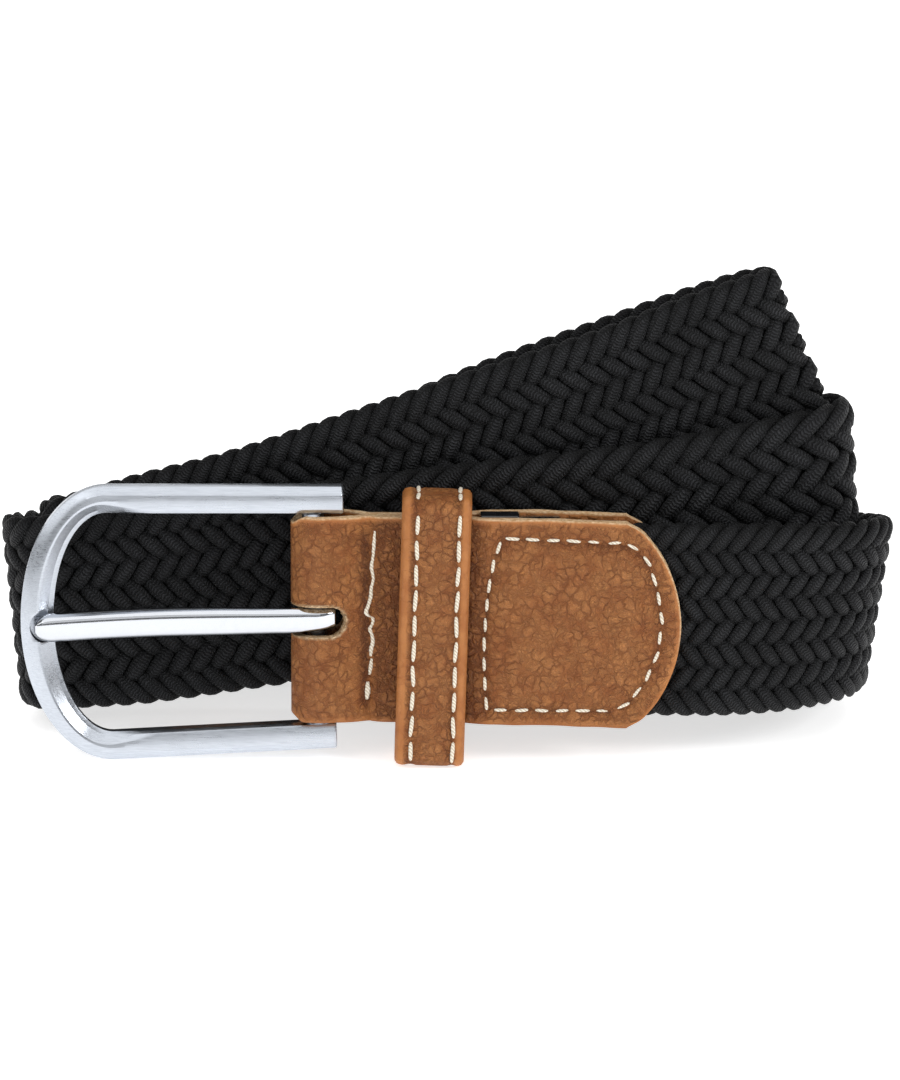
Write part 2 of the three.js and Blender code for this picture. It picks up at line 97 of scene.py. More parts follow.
# The strap's route, a row for each station, from the tab inwards.
# along: share of REACH. inset, layer: in LAYERs. back: share of STEP_BACK. height: share of BRAID_W.
# floor: 1 where the strand stands on the surface. side, tilt: degrees that its top leans right and back.
ROUTE = [
    ["along", "inset", "back", "layer", "height", "floor", "side", "tilt"],
    # front strand and first bend on the right
    [0.072, 0, 0, 0, 0, 0, 0, 0],
    [0.4, 0, 0, 0, -0.008, 0, 0, 0],
    [0.7, 0, 0.015, 0, -0.009, 0, 0, 0],
    [1, -2.7, 0.29, 0, -0.006, 0, 1.5, -6],
    [1, -0.65, 0.93, 0, -0.006, 0, 5, -11],
    [1, 0.03, 1, 1.46, -0.022, 0, 7.8, -14],
    [1, -0.05, 1, 2.6, -0.052, 0, 6.5, -12.5],
    [1, -0.65, 1, 3.73, -0.085, 0, 5, -11],
    [1, -1.78, 1, 4.75, 0.018, 1, 3, -9.5],
    [1, -3.5, 1, 5.35, 0.009, 1, 1, -LEAN],
    # back strand, standing on its edge
    [0.66, 0, 1, 5.73, 0.003, 1, 0, -LEAN],
    [0.43, 0, 1, 5.78, 0.0005, 1, 0, -LEAN],
    [0.18, 0, 1, 5.78, 0, 1, 0, -LEAN],
    [-0.18, 0, 1, 5.78, 0, 1, 0, -LEAN],
    [-0.43, 0, 1, 5.78, 0.0005, 1, 0, -LEAN],
    [-0.63, 0, 1, 5.73, 0.003, 1, 0, -LEAN],
    # first bend on the left
    [-1, 4.3, 1, 5.4, 0.012, 1, -2, -8],
    [-1, 2.05, 1, 4.62, 0.025, 1, -6, -7],
    [-1, 0.3, 1, 3.3, -0.09, 0, -5, -6],
    [-1, -0.32, 1, 2.1, -0.073, 0, -5.2, -5],
    [-1, 0.12, 1, 0.97, -0.061, 0, -5.5, -3],
    [-1, 1.57, 1, 0.24, -0.033, 0, -8.5, -1],
    # second strand, rising to the right
    [-0.786, 0, 1, 0, -0.004, 0, -8, 0],
    [-0.62, 0, 1, 0, 0.042, 0, -8.5, 0],
    [-0.41, 0, 1, 0, 0.109, 0, -9, 0],
    [-0.2, 0, 1, 0, 0.158, 0, -9, 0],
    [0.054, 0, 1, 0, 0.227, 0, -8.5, 0],
    [0.337, 0, 1, 0, 0.297, 0, -8.5, 0],
    [0.53, 0, 1, 0, 0.355, 0, -9.5, 0],
    [0.72, 0, 1, 0, 0.433, 0, -11, 0],
    # second bend on the right
    [1, -3.1, 1, 0.05, 0.482, 0, -10, 0],
    [1, -1.6, 1, 0.64, 0.512, 0, -5.5, 0],
    [1, -0.98, 1, 1.62, 0.521, 0, -3.2, 0],
    [1, -1.57, 1, 2.62, 0.515, 0, -4.5, 0],
    [1, -3.1, 1, 3.28, 0.494, 0, -6, 0],
    # its way back
    [0.714, 0, 1, 3.35, 0.455, 0, -8, 0],
    [0.4, 0, 1, 3.35, 0.333, 0, -10, 0],
    [-0.286, 0, 1, 3.35, 0.121, 0, -9, 0],
    [-0.714, 0, 1, 3.35, 0.012, 0, -9, 0],
    # second bend on the left
    [-1, 2.7, 1, 3.08, -0.009, 0, -9, 0],
    [-1, 1.7, 1, 2.46, -0.015, 0, -9, 0],
    [-1, 1.7, 1, 1.73, -0.012, 0, -9, 0],
    [-1, 2.7, 1, 1.16, 0.039, 0, -11, 0],
    # third strand, the steepest
    [-0.7, 0, 1, 1.03, 0.145, 0, -15, 0],
    [-0.443, 0, 1, 1.03, 0.291, 0, -17, 0],
    [-0.186, 0, 1, 1.03, 0.476, 0, -18, 0],
    [0.114, 0, 1, 1.03, 0.694, 0, -19, 0],
    [0.43, 0, 1, 1.03, 0.918, 0, -19, 0],
    [0.67, 0, 1, 1.03, 1.118, 0, -19, 0],
    # third bend on the right, and the inner end
    [0.93, -2.75, 1, 1.13, 1.197, 0, -20.5, 0],
    [0.93, -1.67, 1, 1.62, 1.23, 0, -22, 0],
    [0.93, -2.75, 1, 2.16, 1.197, 0, -20.5, 0],
    [0.67, 0, 1, 2.22, 1.121, 0, -19, 0],
    [0.43, 0, 1, 2.22, 0.936, 0, -19, 0],
    [0.2, 0, 1, 2.22, 0.755, 0, -18.5, 0],
    [-0.143, 0, 1, 2.22, 0.452, 0, -18, 0],
    [-0.543, 0, 1, 2.22, 0.121, 0, -14, 0],
]


def to_row():
    """From the roll's own millimetres to metres in the row frame."""
    lean = Matrix.Rotation(-math.radians(LEAN), 4, "X")
    return Matrix.Diagonal((MM, MM, MM, 1)) @ Matrix.Translation(ROLL_AT) @ lean


ROLL = to_row()
TAB_AT = ROLL @ Matrix.Translation((BAR_X, 0, 0))
BUCKLE_AT = TAB_AT @ Matrix.Rotation(-math.radians(BUCKLE_TURN), 4, "Y")
KEEPER_AT = (
    ROLL
    @ Matrix.Translation((KEEPER_X, 0, 0))
    @ Matrix.Rotation(math.radians(KEEPER_TURN), 4, "Y")
)


def smooth(x, low, high):
    """0 below low, 1 above high, and an even rise between."""
    t = np.clip((np.asarray(x, float) - low) / (high - low), 0, 1)
    return t * t * (3 - 2 * t)


def power(a, p):
    """A power that keeps the sign, for sections between an oval and a rectangle."""
    return np.sign(a) * np.abs(a) ** p


def along_length(points):
    """Distance along a chain of points up to each of them."""
    return np.append(0, np.cumsum(np.linalg.norm(np.diff(points, axis=0), axis=1)))


def columns(table):
    """The rows of a table with named columns, each as a dictionary."""
    names, *rows = table
    return [dict(zip(names, row)) for row in rows]


def finish_piece(name, bm, place, material, body):
    """Puts a bmesh in its place as a piece that rides on a CAD body."""
    bmesh.ops.transform(bm, matrix=place, verts=bm.verts)
    bmesh.ops.recalc_face_normals(bm, faces=bm.faces)
    mesh = bpy.data.meshes.new(name)
    bm.to_mesh(mesh)
    bm.free()
    for polygon in mesh.polygons:
        polygon.use_smooth = True
    piece = bpy.data.objects.new(name, mesh)
    bpy.context.scene.collection.objects.link(piece)
    mesh.materials.append(material)
    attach(piece, body)
    return piece


def bent_grid(along, across, shape, size, marks=None):
    """A grid of quads whose corners shape(u, v) puts in place, with a UV map in metres.

    u runs along and v across, both from 0 to 1. size is the real length and width in millimetres.
    marks are named values of u and v that the material reads.
    """
    bm = bmesh.new()
    uv_layer = bm.loops.layers.uv.new("UVMap")
    bmesh.ops.create_grid(bm, x_segments=along, y_segments=across, size=0.5)
    grid = bpy.data.meshes.new("grid")
    bm.to_mesh(grid)
    bm.free()
    flat = np.empty(len(grid.vertices) * 3)
    grid.vertices.foreach_get("co", flat)
    u, v = flat.reshape(-1, 3)[:, 0] + 0.5, flat.reshape(-1, 3)[:, 1] + 0.5
    grid.vertices.foreach_set("co", shape(u, v).ravel())
    corner = np.empty(len(grid.loops), int)
    grid.loops.foreach_get("vertex_index", corner)
    uv = np.column_stack((u[corner] * size[0], v[corner] * size[1])) * MM
    grid.uv_layers[0].data.foreach_set("uv", uv.ravel())
    for mark, values in (marks or {}).items():
        layer = grid.attributes.new(mark, "FLOAT", "POINT")
        layer.data.foreach_set("value", np.asarray(values(u, v), float))
    bm = bmesh.new()
    bm.from_mesh(grid)
    bpy.data.meshes.remove(grid)
    return bm


def weld(bm, reach=1e-4):
    """Joins the corners that meet, and closes the ends."""
    bmesh.ops.remove_doubles(bm, verts=bm.verts, dist=reach)
    bmesh.ops.dissolve_degenerate(bm, dist=reach, edges=bm.edges)
    rims = [e for e in bm.edges if e.is_boundary]
    if rims:
        bmesh.ops.holes_fill(bm, edges=rims, sides=0)
    return bm


def soften(bm, edges, offset, segments, **settings):
    """Rounds edges of a bmesh."""
    bmesh.ops.bevel(
        bm, geom=list(edges), offset=offset, segments=segments, profile=0.5, affect="EDGES", material=-1,
        **settings,
    )


def chordal(points, per_span):
    """A smooth curve through the points, evenly many places in each span, as the model draws it."""
    points = np.asarray(points, float)
    ends = np.vstack((2 * points[0] - points[1], points, 2 * points[-1] - points[-2]))
    t = np.linspace(0, 1, per_span, endpoint=False)[:, None]
    made = []
    for i in range(len(points) - 1):
        p0, p1, p2, p3 = ends[i : i + 4]
        d0, d1, d2 = (np.linalg.norm(b - a) for a, b in ((p0, p1), (p1, p2), (p2, p3)))
        m1 = ((p1 - p0) / d0 - (p2 - p0) / (d0 + d1) + (p2 - p1) / d1) * d1
        m2 = ((p2 - p1) / d1 - (p3 - p1) / (d1 + d2) + (p3 - p2) / d2) * d1
        made.append(
            p1 + m1 * t + (3 * (p2 - p1) - 2 * m1 - m2) * t**2 + (2 * (p1 - p2) + m1 + m2) * t**3
        )
    made.append(points[-1:])
    return np.vstack(made)


def strap_route():
    """Middle, width direction and outward direction of the strap, by its length, in the roll's frame."""
    lean = math.radians(LEAN)
    top, bottom = [], []
    for s in columns(ROUTE):
        x = s["along"] * REACH + s["inset"] * LAYER
        y = s["back"] * STEP_BACK + s["layer"] * LAYER
        standing = (BRAID_W / 2 - BAR_Z + y * math.sin(lean)) / math.cos(lean)
        middle = Vector((x, y, s["height"] * BRAID_W + s["floor"] * standing))
        half = Vector((math.tan(math.radians(s["side"])), math.tan(math.radians(s["tilt"])), 1))
        half = half.normalized() * BRAID_W / 2
        top.append(middle + half)
        bottom.append(middle - half)
    top, bottom = chordal(top, 40), chordal(bottom, 40)
    middle = (top + bottom) / 2
    length = along_length(middle)
    forward = np.gradient(middle, length, axis=0)
    across = (top - bottom) / np.linalg.norm(top - bottom, axis=1)[:, None]
    outward = np.cross(forward, across)
    outward /= np.linalg.norm(outward, axis=1)[:, None]
    return length, middle, across, outward


ROUTE_LENGTH, ROUTE_MIDDLE, ROUTE_ACROSS, ROUTE_OUT = strap_route()
STRAP_END = ROUTE_LENGTH[-1]


def on_route(table, s):
    """Values of a table along the strap, by its length."""
    return np.column_stack([np.interp(s, ROUTE_LENGTH, table[:, k]) for k in range(3)])


CORDS = 17
TURN = CORDS  # crossings from one edge of the braid to the other
CORD_SIDES = 12
CORD_STEPS = 3  # sections for each crossing
CORD_HALF = 0.86  # half a cord's thickness
CORD_PRESSED = 0.44  # share of its thickness that it loses inside the leather tip
CORD_LIFT = 0.8  # how far the middle of an upper cord stays below the strap's face
CROSSING_W = 1.92  # across the strap for each crossing
TURN_IN = 1.5  # crossings from an edge within which a cord changes sides
EDGE_SOFT = 0.75  # crossings over which a cord turns round at the braid's edge
# Distance along the strap between neighbouring cords: the braid is stretched in some places.
PITCH = [
    (0, 3.7), (35, 3.2), (60, 2.9), (110, 3.1), (270, 3.6), (300, 4.6), (330, 4.8), (380, 4.2),
    (430, 3.6), (560, 3.5), (760, 3.5),
]
# Share of BRAID_W that the braid spreads to along the strap
SPREAD = [(0, 1.0), (200, 1.0), (250, 1.035), (760, 1.04)]


def crossing_table():
    """How many crossings of half a pitch lie before each place on the strap."""
    s = np.linspace(0, STRAP_END, 4000)
    pitch = np.interp(s, *np.array(PITCH).T)
    crossings = np.append(0, np.cumsum(np.diff(s) / ((pitch[1:] + pitch[:-1]) / 4)))
    return s, crossings


CROSSING_S, CROSSING_N = crossing_table()


def cord_path(n, cord):
    """Place along, across and out of the strap of one cord, by the count of crossings n."""
    r = (n + 2 * cord) % (2 * TURN)
    up = r < TURN
    q = np.where(up, r, 2 * TURN - r)
    low = np.sqrt(q**2 + EDGE_SOFT**2) - q
    high = np.sqrt((TURN - q) ** 2 + EDGE_SOFT**2) - (TURN - q)
    across = (q + low - high) / (TURN / 2) - 1
    angle = (np.clip(q, TURN_IN, TURN - TURN_IN) - TURN_IN) * math.pi / 2
    angle = angle + np.where(q < TURN_IN, (q - TURN_IN) / 3, 0) * math.pi
    angle = angle + np.where(q > TURN - TURN_IN, (q - TURN + TURN_IN) / 3, 0) * math.pi
    wave = -np.cos(angle) * np.where(up, 1, -1)
    over = wave / np.sqrt(wave**2 + 0.35 * (1 - wave**2))
    return across, over


def braid_cord(cord, material):
    """One knitted elastic cord of the braid, over two and under two, from the tab to the tip."""
    count = int(CROSSING_N[-1] * CORD_STEPS)
    n = np.linspace(0, CROSSING_N[-1], count + 1)
    s = np.interp(n, CROSSING_N, CROSSING_S)
    pitch = np.interp(s, *np.array(PITCH).T)
    across, over = cord_path(n, cord)
    wide = pitch * CROSSING_W / np.hypot(CROSSING_W, pitch / 2)
    half_wide = wide / 2 * (0.92 + 0.12 * over**2)
    flat = 1 - CORD_PRESSED * (1 - smooth(STRAP_END - s, 6, 14))
    half_thick = CORD_HALF * flat
    lift = (BRAID_T / 2 - CORD_LIFT) * flat * over
    edge = (BRAID_W / 2 - half_wide.mean() * 0.93) / (1 - EDGE_SOFT / (TURN / 2))
    path = (
        on_route(ROUTE_MIDDLE, s)
        + on_route(ROUTE_ACROSS, s) * (across * edge * np.interp(s, *np.array(SPREAD).T))[:, None]
        + on_route(ROUTE_OUT, s) * lift[:, None]
    )
    ahead = np.gradient(path, axis=0)
    ahead /= np.linalg.norm(ahead, axis=1)[:, None]
    out = on_route(ROUTE_OUT, s)
    out -= ahead * np.sum(out * ahead, axis=1)[:, None]
    out /= np.linalg.norm(out, axis=1)[:, None]
    side = np.cross(ahead, out)
    length = along_length(path)

    def shape(u, v):
        i = np.rint(u * count).astype(int)
        turn = v * 2 * math.pi
        wide_at = np.cos(turn) * half_wide[i]
        thick_at = np.sin(turn) * half_thick[i]
        return path[i] + side[i] * wide_at[:, None] + out[i] * thick_at[:, None]

    def unshaded(u, v):
        """1 on top of a stretch that shows, on either face, and 0 where the cord dives; the material paints
        shade where it is low.
        """
        i = np.rint(u * count).astype(int)
        return smooth(np.sin(v * 2 * math.pi) * over[i], -0.15, 0.85)

    bm = bent_grid(count, CORD_SIDES, shape, (length[-1], 2 * math.pi), {"unshaded": unshaded})
    return finish_piece(f"braid_cord_{cord + 1:02d}", weld(bm), ROLL, material, "belt")


# The middle of the front leaf seen from above, from the fold round the bar to the round end.
TAB_PROFILE = [
    (-3.35, 0), (-3.05, -1.5), (-1.9, -2.8), (0, -3.38), (2.4, -3.25), (5, -2.45), (7.2, -1.35),
    (8.3, -0.7), (9.0, -0.45), (9.8, -0.75), (11, -1.02), (13, -1.02), (20, -0.9), (23.6, -0.92),
    (26, -1.7), (28.5, -2.55), (31, -2.68), (45, -2.68), (60.2, -2.68),
]
# Seam that holds the braid, in millimetres right of the bar and above the tab's middle.
BOX_SEAM = [
    (30.7, 14.3), (41, 13.9), (51.2, 13.5), (53.6, 12), (54.9, 10), (56.3, 5.6), (57.1, 0.1), (56.3, -5.5),
    (54.6, -9.5), (52.9, -12), (50.6, -14.3), (48.3, -15.1), (38, -15.1), (28.2, -15), (27.8, -9),
    (27.8, -3), (28.4, 5), (29.4, 10.5), (30.7, 14.3),
]


def tab_profile():
    front = chordal([(x, y, 0) for x, y in TAB_PROFILE], 24)[:, :2]
    back = front[::-1] * [1, -1]
    whole = np.vstack((back, front[1:]))
    length = along_length(whole)
    return length, whole


TAB_RUN, TAB_LINE = tab_profile()


def distance_to(line, x, z):
    """Distance from places to a chain of straight stretches."""
    near = np.full(np.shape(x), 1e9)
    for (ax, az), (bx, bz) in zip(line, line[1:]):
        dx, dz = bx - ax, bz - az
        t = np.clip(((x - ax) * dx + (z - az) * dz) / (dx * dx + dz * dz), 0, 1)
        near = np.minimum(near, np.hypot(x - ax - t * dx, z - az - t * dz))
    return near


def inside_of(line, x, z):
    """True where places lie inside a closed line."""
    inside = np.zeros(np.shape(x), bool)
    for (ax, az), (bx, bz) in zip(line, line[1:]):
        crosses = (az > z) != (bz > z)
        with np.errstate(divide="ignore", invalid="ignore"):
            at = (bx - ax) * (z - az) / (bz - az) + ax
        inside ^= crosses & (x < at)
    return inside


def tab_end(z):
    """Where the round end lies at a height."""
    half = TAB_W / 2
    radius = (half**2 + TAB_END_DEPTH**2) / (2 * TAB_END_DEPTH)
    corner = 1.1 * smooth(np.abs(z), half - 2.2, half) ** 2
    return TAB_LENGTH - radius + np.sqrt(np.maximum(radius**2 - z**2, 0)) - corner


def tab_relief(x, z):
    """How far a leaf stands out: it bulges over the braid and is drawn in along the seams."""
    near = distance_to(BOX_SEAM, x, z)
    bulge = np.where(inside_of(BOX_SEAM, x, z), smooth(near, 0, 6) * 0.42, 0)
    pinch = -0.42 * np.exp(-((near / 0.95) ** 2))
    waves = 0.1 * np.sin(x * 0.9 + z * 0.37) * np.sin(z * 0.55 - x * 0.21 + 1)
    return bulge + pinch + waves * smooth(x, 2, 6)


STRAIGHT = 30.0  # right of this, the strip is drawn out or in to end in its round end


def tab_stretch(z):
    """How much longer or shorter the strip's right part is at a height."""
    return (tab_end(z) - STRAIGHT) / (TAB_LENGTH - STRAIGHT)


def stretched(x, z):
    """Where a place right of the bar lies once the strip is drawn to its round end."""
    return np.where(x > STRAIGHT, STRAIGHT + (x - STRAIGHT) * tab_stretch(z), x)


def tab_point(run, z):
    """A place on the middle of the folded strip: run along it from the back leaf's end, z up."""
    x, y = (np.interp(run, TAB_RUN, line) for line in TAB_LINE.T)
    slope_x, slope_y = (np.interp(run, TAB_RUN, np.gradient(line, TAB_RUN)) for line in TAB_LINE.T)
    steep = np.hypot(slope_x, slope_y)
    # Outwards: to the viewer on the front leaf, away on the back one, and left at the fold.
    out_x, out_y = slope_y / steep, -slope_x / steep
    x = stretched(x, z)
    relief = tab_relief(x, z)
    # The strip is a little narrower at the fold, and at its bottom as far as the seam.
    drawn_in = 1.011 - 0.066 * (1 - smooth(x, -3.4, -1.8)) - 0.011 * smooth(x, 5, 12)
    drawn_in = drawn_in - 0.03 * smooth(-z, 8, 17) * (1 - smooth(x, 5, 12))
    # Above and below the prong it closes in on the bar.
    tight = 1 - 0.2 * smooth(np.abs(z), 12, 17.5) * (1 - smooth(x, 3, 7))
    sag = 0.6 * smooth(x, 34, 54)
    return np.column_stack((x + out_x * relief, y * tight + out_y * relief, z * drawn_in - sag))


def slot_distance(x, z):
    """Distance inside the slot for the prong, above 0 inside it."""
    past = np.maximum(x - (SLOT_LENGTH - SLOT_HALF), 0)
    return SLOT_HALF - np.hypot(past, z - SLOT_UP)


def leather_tab(material):
    """The folded strip: a thick sheet with rounded rims and the slot for the prong."""
    along, across = 380, 96

    def place(u, v):
        return tab_point(u * TAB_RUN[-1], (v - 0.5) * TAB_W)

    def to_border(u, v):
        return np.minimum((0.5 - np.abs(v - 0.5)) * TAB_W, np.minimum(u, 1 - u) * TAB_RUN[-1])

    def place_in_strip(u, v):
        return np.interp(u * TAB_RUN[-1], TAB_RUN, TAB_LINE[:, 0]), (v - 0.5) * TAB_W

    def rim(u, v):
        """1 along the smooth border."""
        return 1 - smooth(to_border(u, v), 0.35, 1.05)

    def raw_and_lit_edge(u, v):
        """1 on the pale cut edges: all round the slot, and along the border only towards the top, where the
        pale edge is painted light from above.
        """
        x, z = place_in_strip(u, v)
        slot = smooth(slot_distance(x, z), -0.4, -0.12)
        return np.maximum(slot, (1 - smooth(to_border(u, v), 0.03, 0.3)) * smooth(v, 0.3, 0.55))

    def shade(u, v):
        """Painted shade, with deeper folds: darker at the seam's groove, beside the keeper, along the box
        seam and along the bottom edge.
        """
        x, z = place_in_strip(u, v)
        x = stretched(x, z)
        groove = np.exp(-(((x - 7.9) / 0.95) ** 2)) * smooth(TAB_W / 2 - np.abs(z), 1.5, 4)
        folds = 0.55 * smooth(x, 9.3, 10.5) * (1 - smooth(x, 13.5, 15))
        folds = folds + 0.5 * smooth(x, 22, 23.5) * (1 - smooth(x, 26.5, 29))
        near = distance_to(BOX_SEAM, x, z)
        seam = np.where(inside_of(BOX_SEAM, x, z), 0.75, 0.3) * np.exp(-((near / 0.8) ** 2))
        # Painted shade along the bottom edge.
        under = 0.8 * (1 - smooth(z + TAB_W / 2, 0.1, 0.9))
        return np.clip(groove + folds + seam + under, 0, 1)

    bm = bent_grid(along, across, place, (TAB_RUN[-1], TAB_W), {"rim": rim, "raw_and_lit_edge": raw_and_lit_edge, "shade": shade})
    cut = [f for f in bm.faces if slot_distance(f.calc_center_median().x, f.calc_center_median().z) > 0]
    bmesh.ops.delete(bm, geom=cut, context="FACES")
    for vert in bm.verts:
        x, z = vert.co.x, vert.co.z - SLOT_UP
        if vert.is_boundary and x < SLOT_LENGTH + 0.6 and abs(z) < SLOT_HALF + 0.6:
            centre = min(x, SLOT_LENGTH - SLOT_HALF)
            away = math.hypot(x - centre, z) or 1
            vert.co.x = centre + (x - centre) / away * SLOT_HALF
            vert.co.z = SLOT_UP + z / away * SLOT_HALF
    bmesh.ops.recalc_face_normals(bm, faces=bm.faces)
    piece = finish_piece("tab_leather", bm, TAB_AT, material, "belt")
    wall = piece.modifiers.new("wall", "SOLIDIFY")
    wall.thickness = LEAF_T * MM
    wall.offset = 0
    wall.use_even_offset = True
    rims = piece.modifiers.new("rims", "BEVEL")
    rims.width = 0.42 * MM
    rims.segments = 3
    rims.limit_method = "ANGLE"
    rims.angle_limit = math.radians(50)
    return piece


def rounded_rect_path(half, low, high, radius, count):
    """Evenly spaced places and outward directions round a rounded rectangle, from the middle of its top."""
    arcs = [(half - radius, high - radius, 90), (half - radius, low + radius, 0),
            (radius - half, low + radius, -90), (radius - half, high - radius, -180)]
    points = []
    for cy, cz, start in arcs:
        for k in range(25):
            a = math.radians(start - 90 * k / 24)
            points.append((cy + radius * math.cos(a), cz + radius * math.sin(a)))
    points = [(0.0, high)] + points + [(0.0, high)]
    points = np.array(points)
    length = along_length(points)
    even = np.linspace(0, length[-1], count + 1)
    at = np.column_stack([np.interp(even, length, points[:, k]) for k in (0, 1)])
    ahead = np.roll(at[:-1], -1, axis=0) - np.roll(at[:-1], 1, axis=0)
    ahead = np.vstack((ahead, ahead[:1]))
    ahead /= np.linalg.norm(ahead, axis=1)[:, None]
    out = np.column_stack((-ahead[:, 1], ahead[:, 0]))
    return at, out, length[-1]


KEEPER_LOW = -(TAB_W / 2 + KEEPER_BELOW) + KEEPER_T / 2
KEEPER_HIGH = TAB_W / 2 + KEEPER_ABOVE - KEEPER_T / 2
KEEPER_SEAM = 3.45  # middle of the keeper to each row of stitches


def keeper_path(count):
    """The middle of the keeper's wall, seen from its side, with its bottom flat on the surface."""
    at, out, length = rounded_rect_path(
        KEEPER_HALF - KEEPER_T / 2, KEEPER_LOW, KEEPER_HIGH, KEEPER_ROUND - KEEPER_T / 2 - 0.9, count
    )
    at[:, 1] += (at[:, 0] * math.tan(math.radians(LEAN)) - 0.3) * smooth(-at[:, 1], 17.5, 22.5)
    return at, out, length


def keeper_relief(x):
    """How far the keeper's face stands out: turned edges, and a dip along each row of stitches."""
    edge = 0.16 * smooth(np.abs(x), 3.6, 4.5)
    return edge - 0.2 * np.exp(-(((np.abs(x - 0.35) - KEEPER_SEAM) / 0.55) ** 2))


def leather_keeper(material):
    count, around = 190, 48
    at, out, length = keeper_path(count)

    def place(u, v):
        i = np.rint(u * count).astype(int)
        turn = v * 2 * math.pi
        x = power(np.cos(turn), 0.5) * KEEPER_W / 2
        n = power(np.sin(turn), 0.62) * KEEPER_T / 2
        n = n + np.where(np.sin(turn) > 0, keeper_relief(x), 0) * (np.abs(x) < KEEPER_W / 2 - 0.3)
        return np.column_stack((x, at[i, 0] + out[i, 0] * n, at[i, 1] + out[i, 1] * n))

    def half_width(v):
        return np.abs(np.cos(v * 2 * math.pi)) ** 0.5 * KEEPER_W / 2

    marks = {
        "rim": lambda u, v: smooth(half_width(v), 3.95, 4.35),
        "raw_and_lit_edge": lambda u, v: 0 * u,
        # Painted shade along each row of stitches and at the very edges.
        "shade": lambda u, v: 0.5 * np.exp(-(((half_width(v) - KEEPER_SEAM) / 0.45) ** 2))
        + 0.5 * smooth(half_width(v), 5.0, 5.6),
    }
    bm = weld(bent_grid(count, around, place, (length, 27), marks))
    return finish_piece("keeper_leather", bm, KEEPER_AT, material, "belt")


def horseshoe(count):
    """Places on the buckle's inner and outer outline that belong together, upper arm first."""
    ends = (FRAME_STUB + STUB_SKEW, FRAME_STUB - STUB_SKEW)
    at_stub = FRAME_H / 2 - FRAME_FLARE / 2 * FRAME_STUB / FRAME_LENGTH
    at_round = (FRAME_H + FRAME_FLARE) / 2
    start = FRAME_ROUND - FRAME_LENGTH
    straight = np.linspace(0, 1, count // 4, endpoint=False)
    bend = np.linspace(0, math.pi, count // 2 + 1)
    lines = []
    for inset, end_inset in ((FRAME_ARM, FRAME_CURVE), (0, 0)):
        upper_x, lower_x = (end + (start - end) * straight for end in ends)
        z = (at_stub + (at_round - at_stub) * straight) - inset
        arc_x = start - (FRAME_ROUND - end_inset) * np.sin(bend)
        arc_z = (at_round - inset) * np.cos(bend)
        upper = np.column_stack((upper_x, z))
        lower = np.column_stack((lower_x, -z))[::-1]
        lines.append(np.vstack((upper, np.column_stack((arc_x, arc_z)), lower)))
    inner, outer = lines
    outer[:, 1] *= FRAME_SPREAD
    for line in lines:
        line[:, 1] += FRAME_RISE * smooth(line[:, 1], 0, 12)
    return lines


# The section's corners: share of the width from the inside, and place from front to back. Along the arms the
# front is broad and flat, and round the bend it rises to a ridge.
ARM_SECTION = [
    (0, -0.9), (0.06, -1.65), (0.2, -1.93), (0.5, -2.02), (0.72, -1.95), (1, -0.95),
    (1, 1.1), (0.82, 2.0), (0.18, 2.0), (0, 1.1),
]
BEND_SECTION = [
    (0, -0.1), (0.15, -0.4), (0.45, -1.95), (0.52, -2.05), (0.72, -1.75), (1, -0.85),
    (1, 1.1), (0.82, 2.0), (0.18, 2.0), (0, 1.1),
]


def round_bar(bm, segments, radius, depth):
    """A round bar along Z, closed at both ends."""
    bmesh.ops.create_cone(
        bm, segments=segments, radius1=radius, radius2=radius, depth=depth, cap_ends=True
    )


def notch_cutter():
    """A long round-ended block that cuts the notch for the prong's tip out of the frame."""
    cut = bmesh.new()
    round_bar(cut, 32, PRONG_W / 2 + NOTCH_FIT, 4)
    bmesh.ops.rotate(cut, matrix=Matrix.Rotation(math.radians(90), 3, "X"), verts=cut.verts)
    for vert in cut.verts:
        if vert.co.x > 0:
            vert.co.x += 12
    bmesh.ops.translate(cut, vec=(-PRONG_LENGTH - 0.35 + PRONG_W / 2, -2.5, 0), verts=cut.verts)
    mesh = bpy.data.meshes.new("notch")
    cut.to_mesh(mesh)
    cut.free()
    mesh.transform(BUCKLE_AT)
    cutter = bpy.data.objects.new("notch", mesh)
    bpy.context.scene.collection.objects.link(cutter)
    return cutter


def buckle_frame(material):
    """The horseshoe, with softened arm ends and the notch for the prong's tip."""
    inner, outer = horseshoe(360)
    count = len(inner) - 1
    corners = len(ARM_SECTION)
    arm, bend = (np.array(rows + rows[:1]) for rows in (ARM_SECTION, BEND_SECTION))

    def place(u, v):
        i = np.rint(u * count).astype(int)
        k = np.rint(v * corners).astype(int)
        bent = smooth(-inner[i, 0], 26, 38)[:, None]
        share, deep = (arm[k] * (1 - bent) + bend[k] * bent).T
        xz = inner[i] + (outer[i] - inner[i]) * share[:, None]
        return np.column_stack((xz[:, 0], deep, xz[:, 1]))

    bm = weld(bent_grid(count, corners, place, (150, 16)))
    ends = {edge for face in bm.faces if len(face.verts) == corners for edge in face.edges}
    soften(bm, ends, 0.6, 4, clamp_overlap=True)
    piece = finish_piece("frame_metal", bm, BUCKLE_AT, material, "frame")
    cutter = notch_cutter()
    notch = piece.modifiers.new("notch", "BOOLEAN")
    notch.object = cutter
    notch.solver = "EXACT"
    edges = piece.modifiers.new("edges", "BEVEL")
    edges.width = 0.28 * MM
    edges.segments = 2
    edges.limit_method = "ANGLE"
    edges.angle_limit = math.radians(18)
    bake(piece)
    bpy.data.meshes.remove(cutter.data)
    return piece


def buckle_bar(material):
    """The bar that holds the tab and the prong."""
    bar = bmesh.new()
    round_bar(bar, 40, BAR_D / 2, FRAME_H - 2 * (FRAME_ARM - BAR_IN_ARM))
    return finish_piece("bar_metal", bar, BUCKLE_AT, material, "frame")


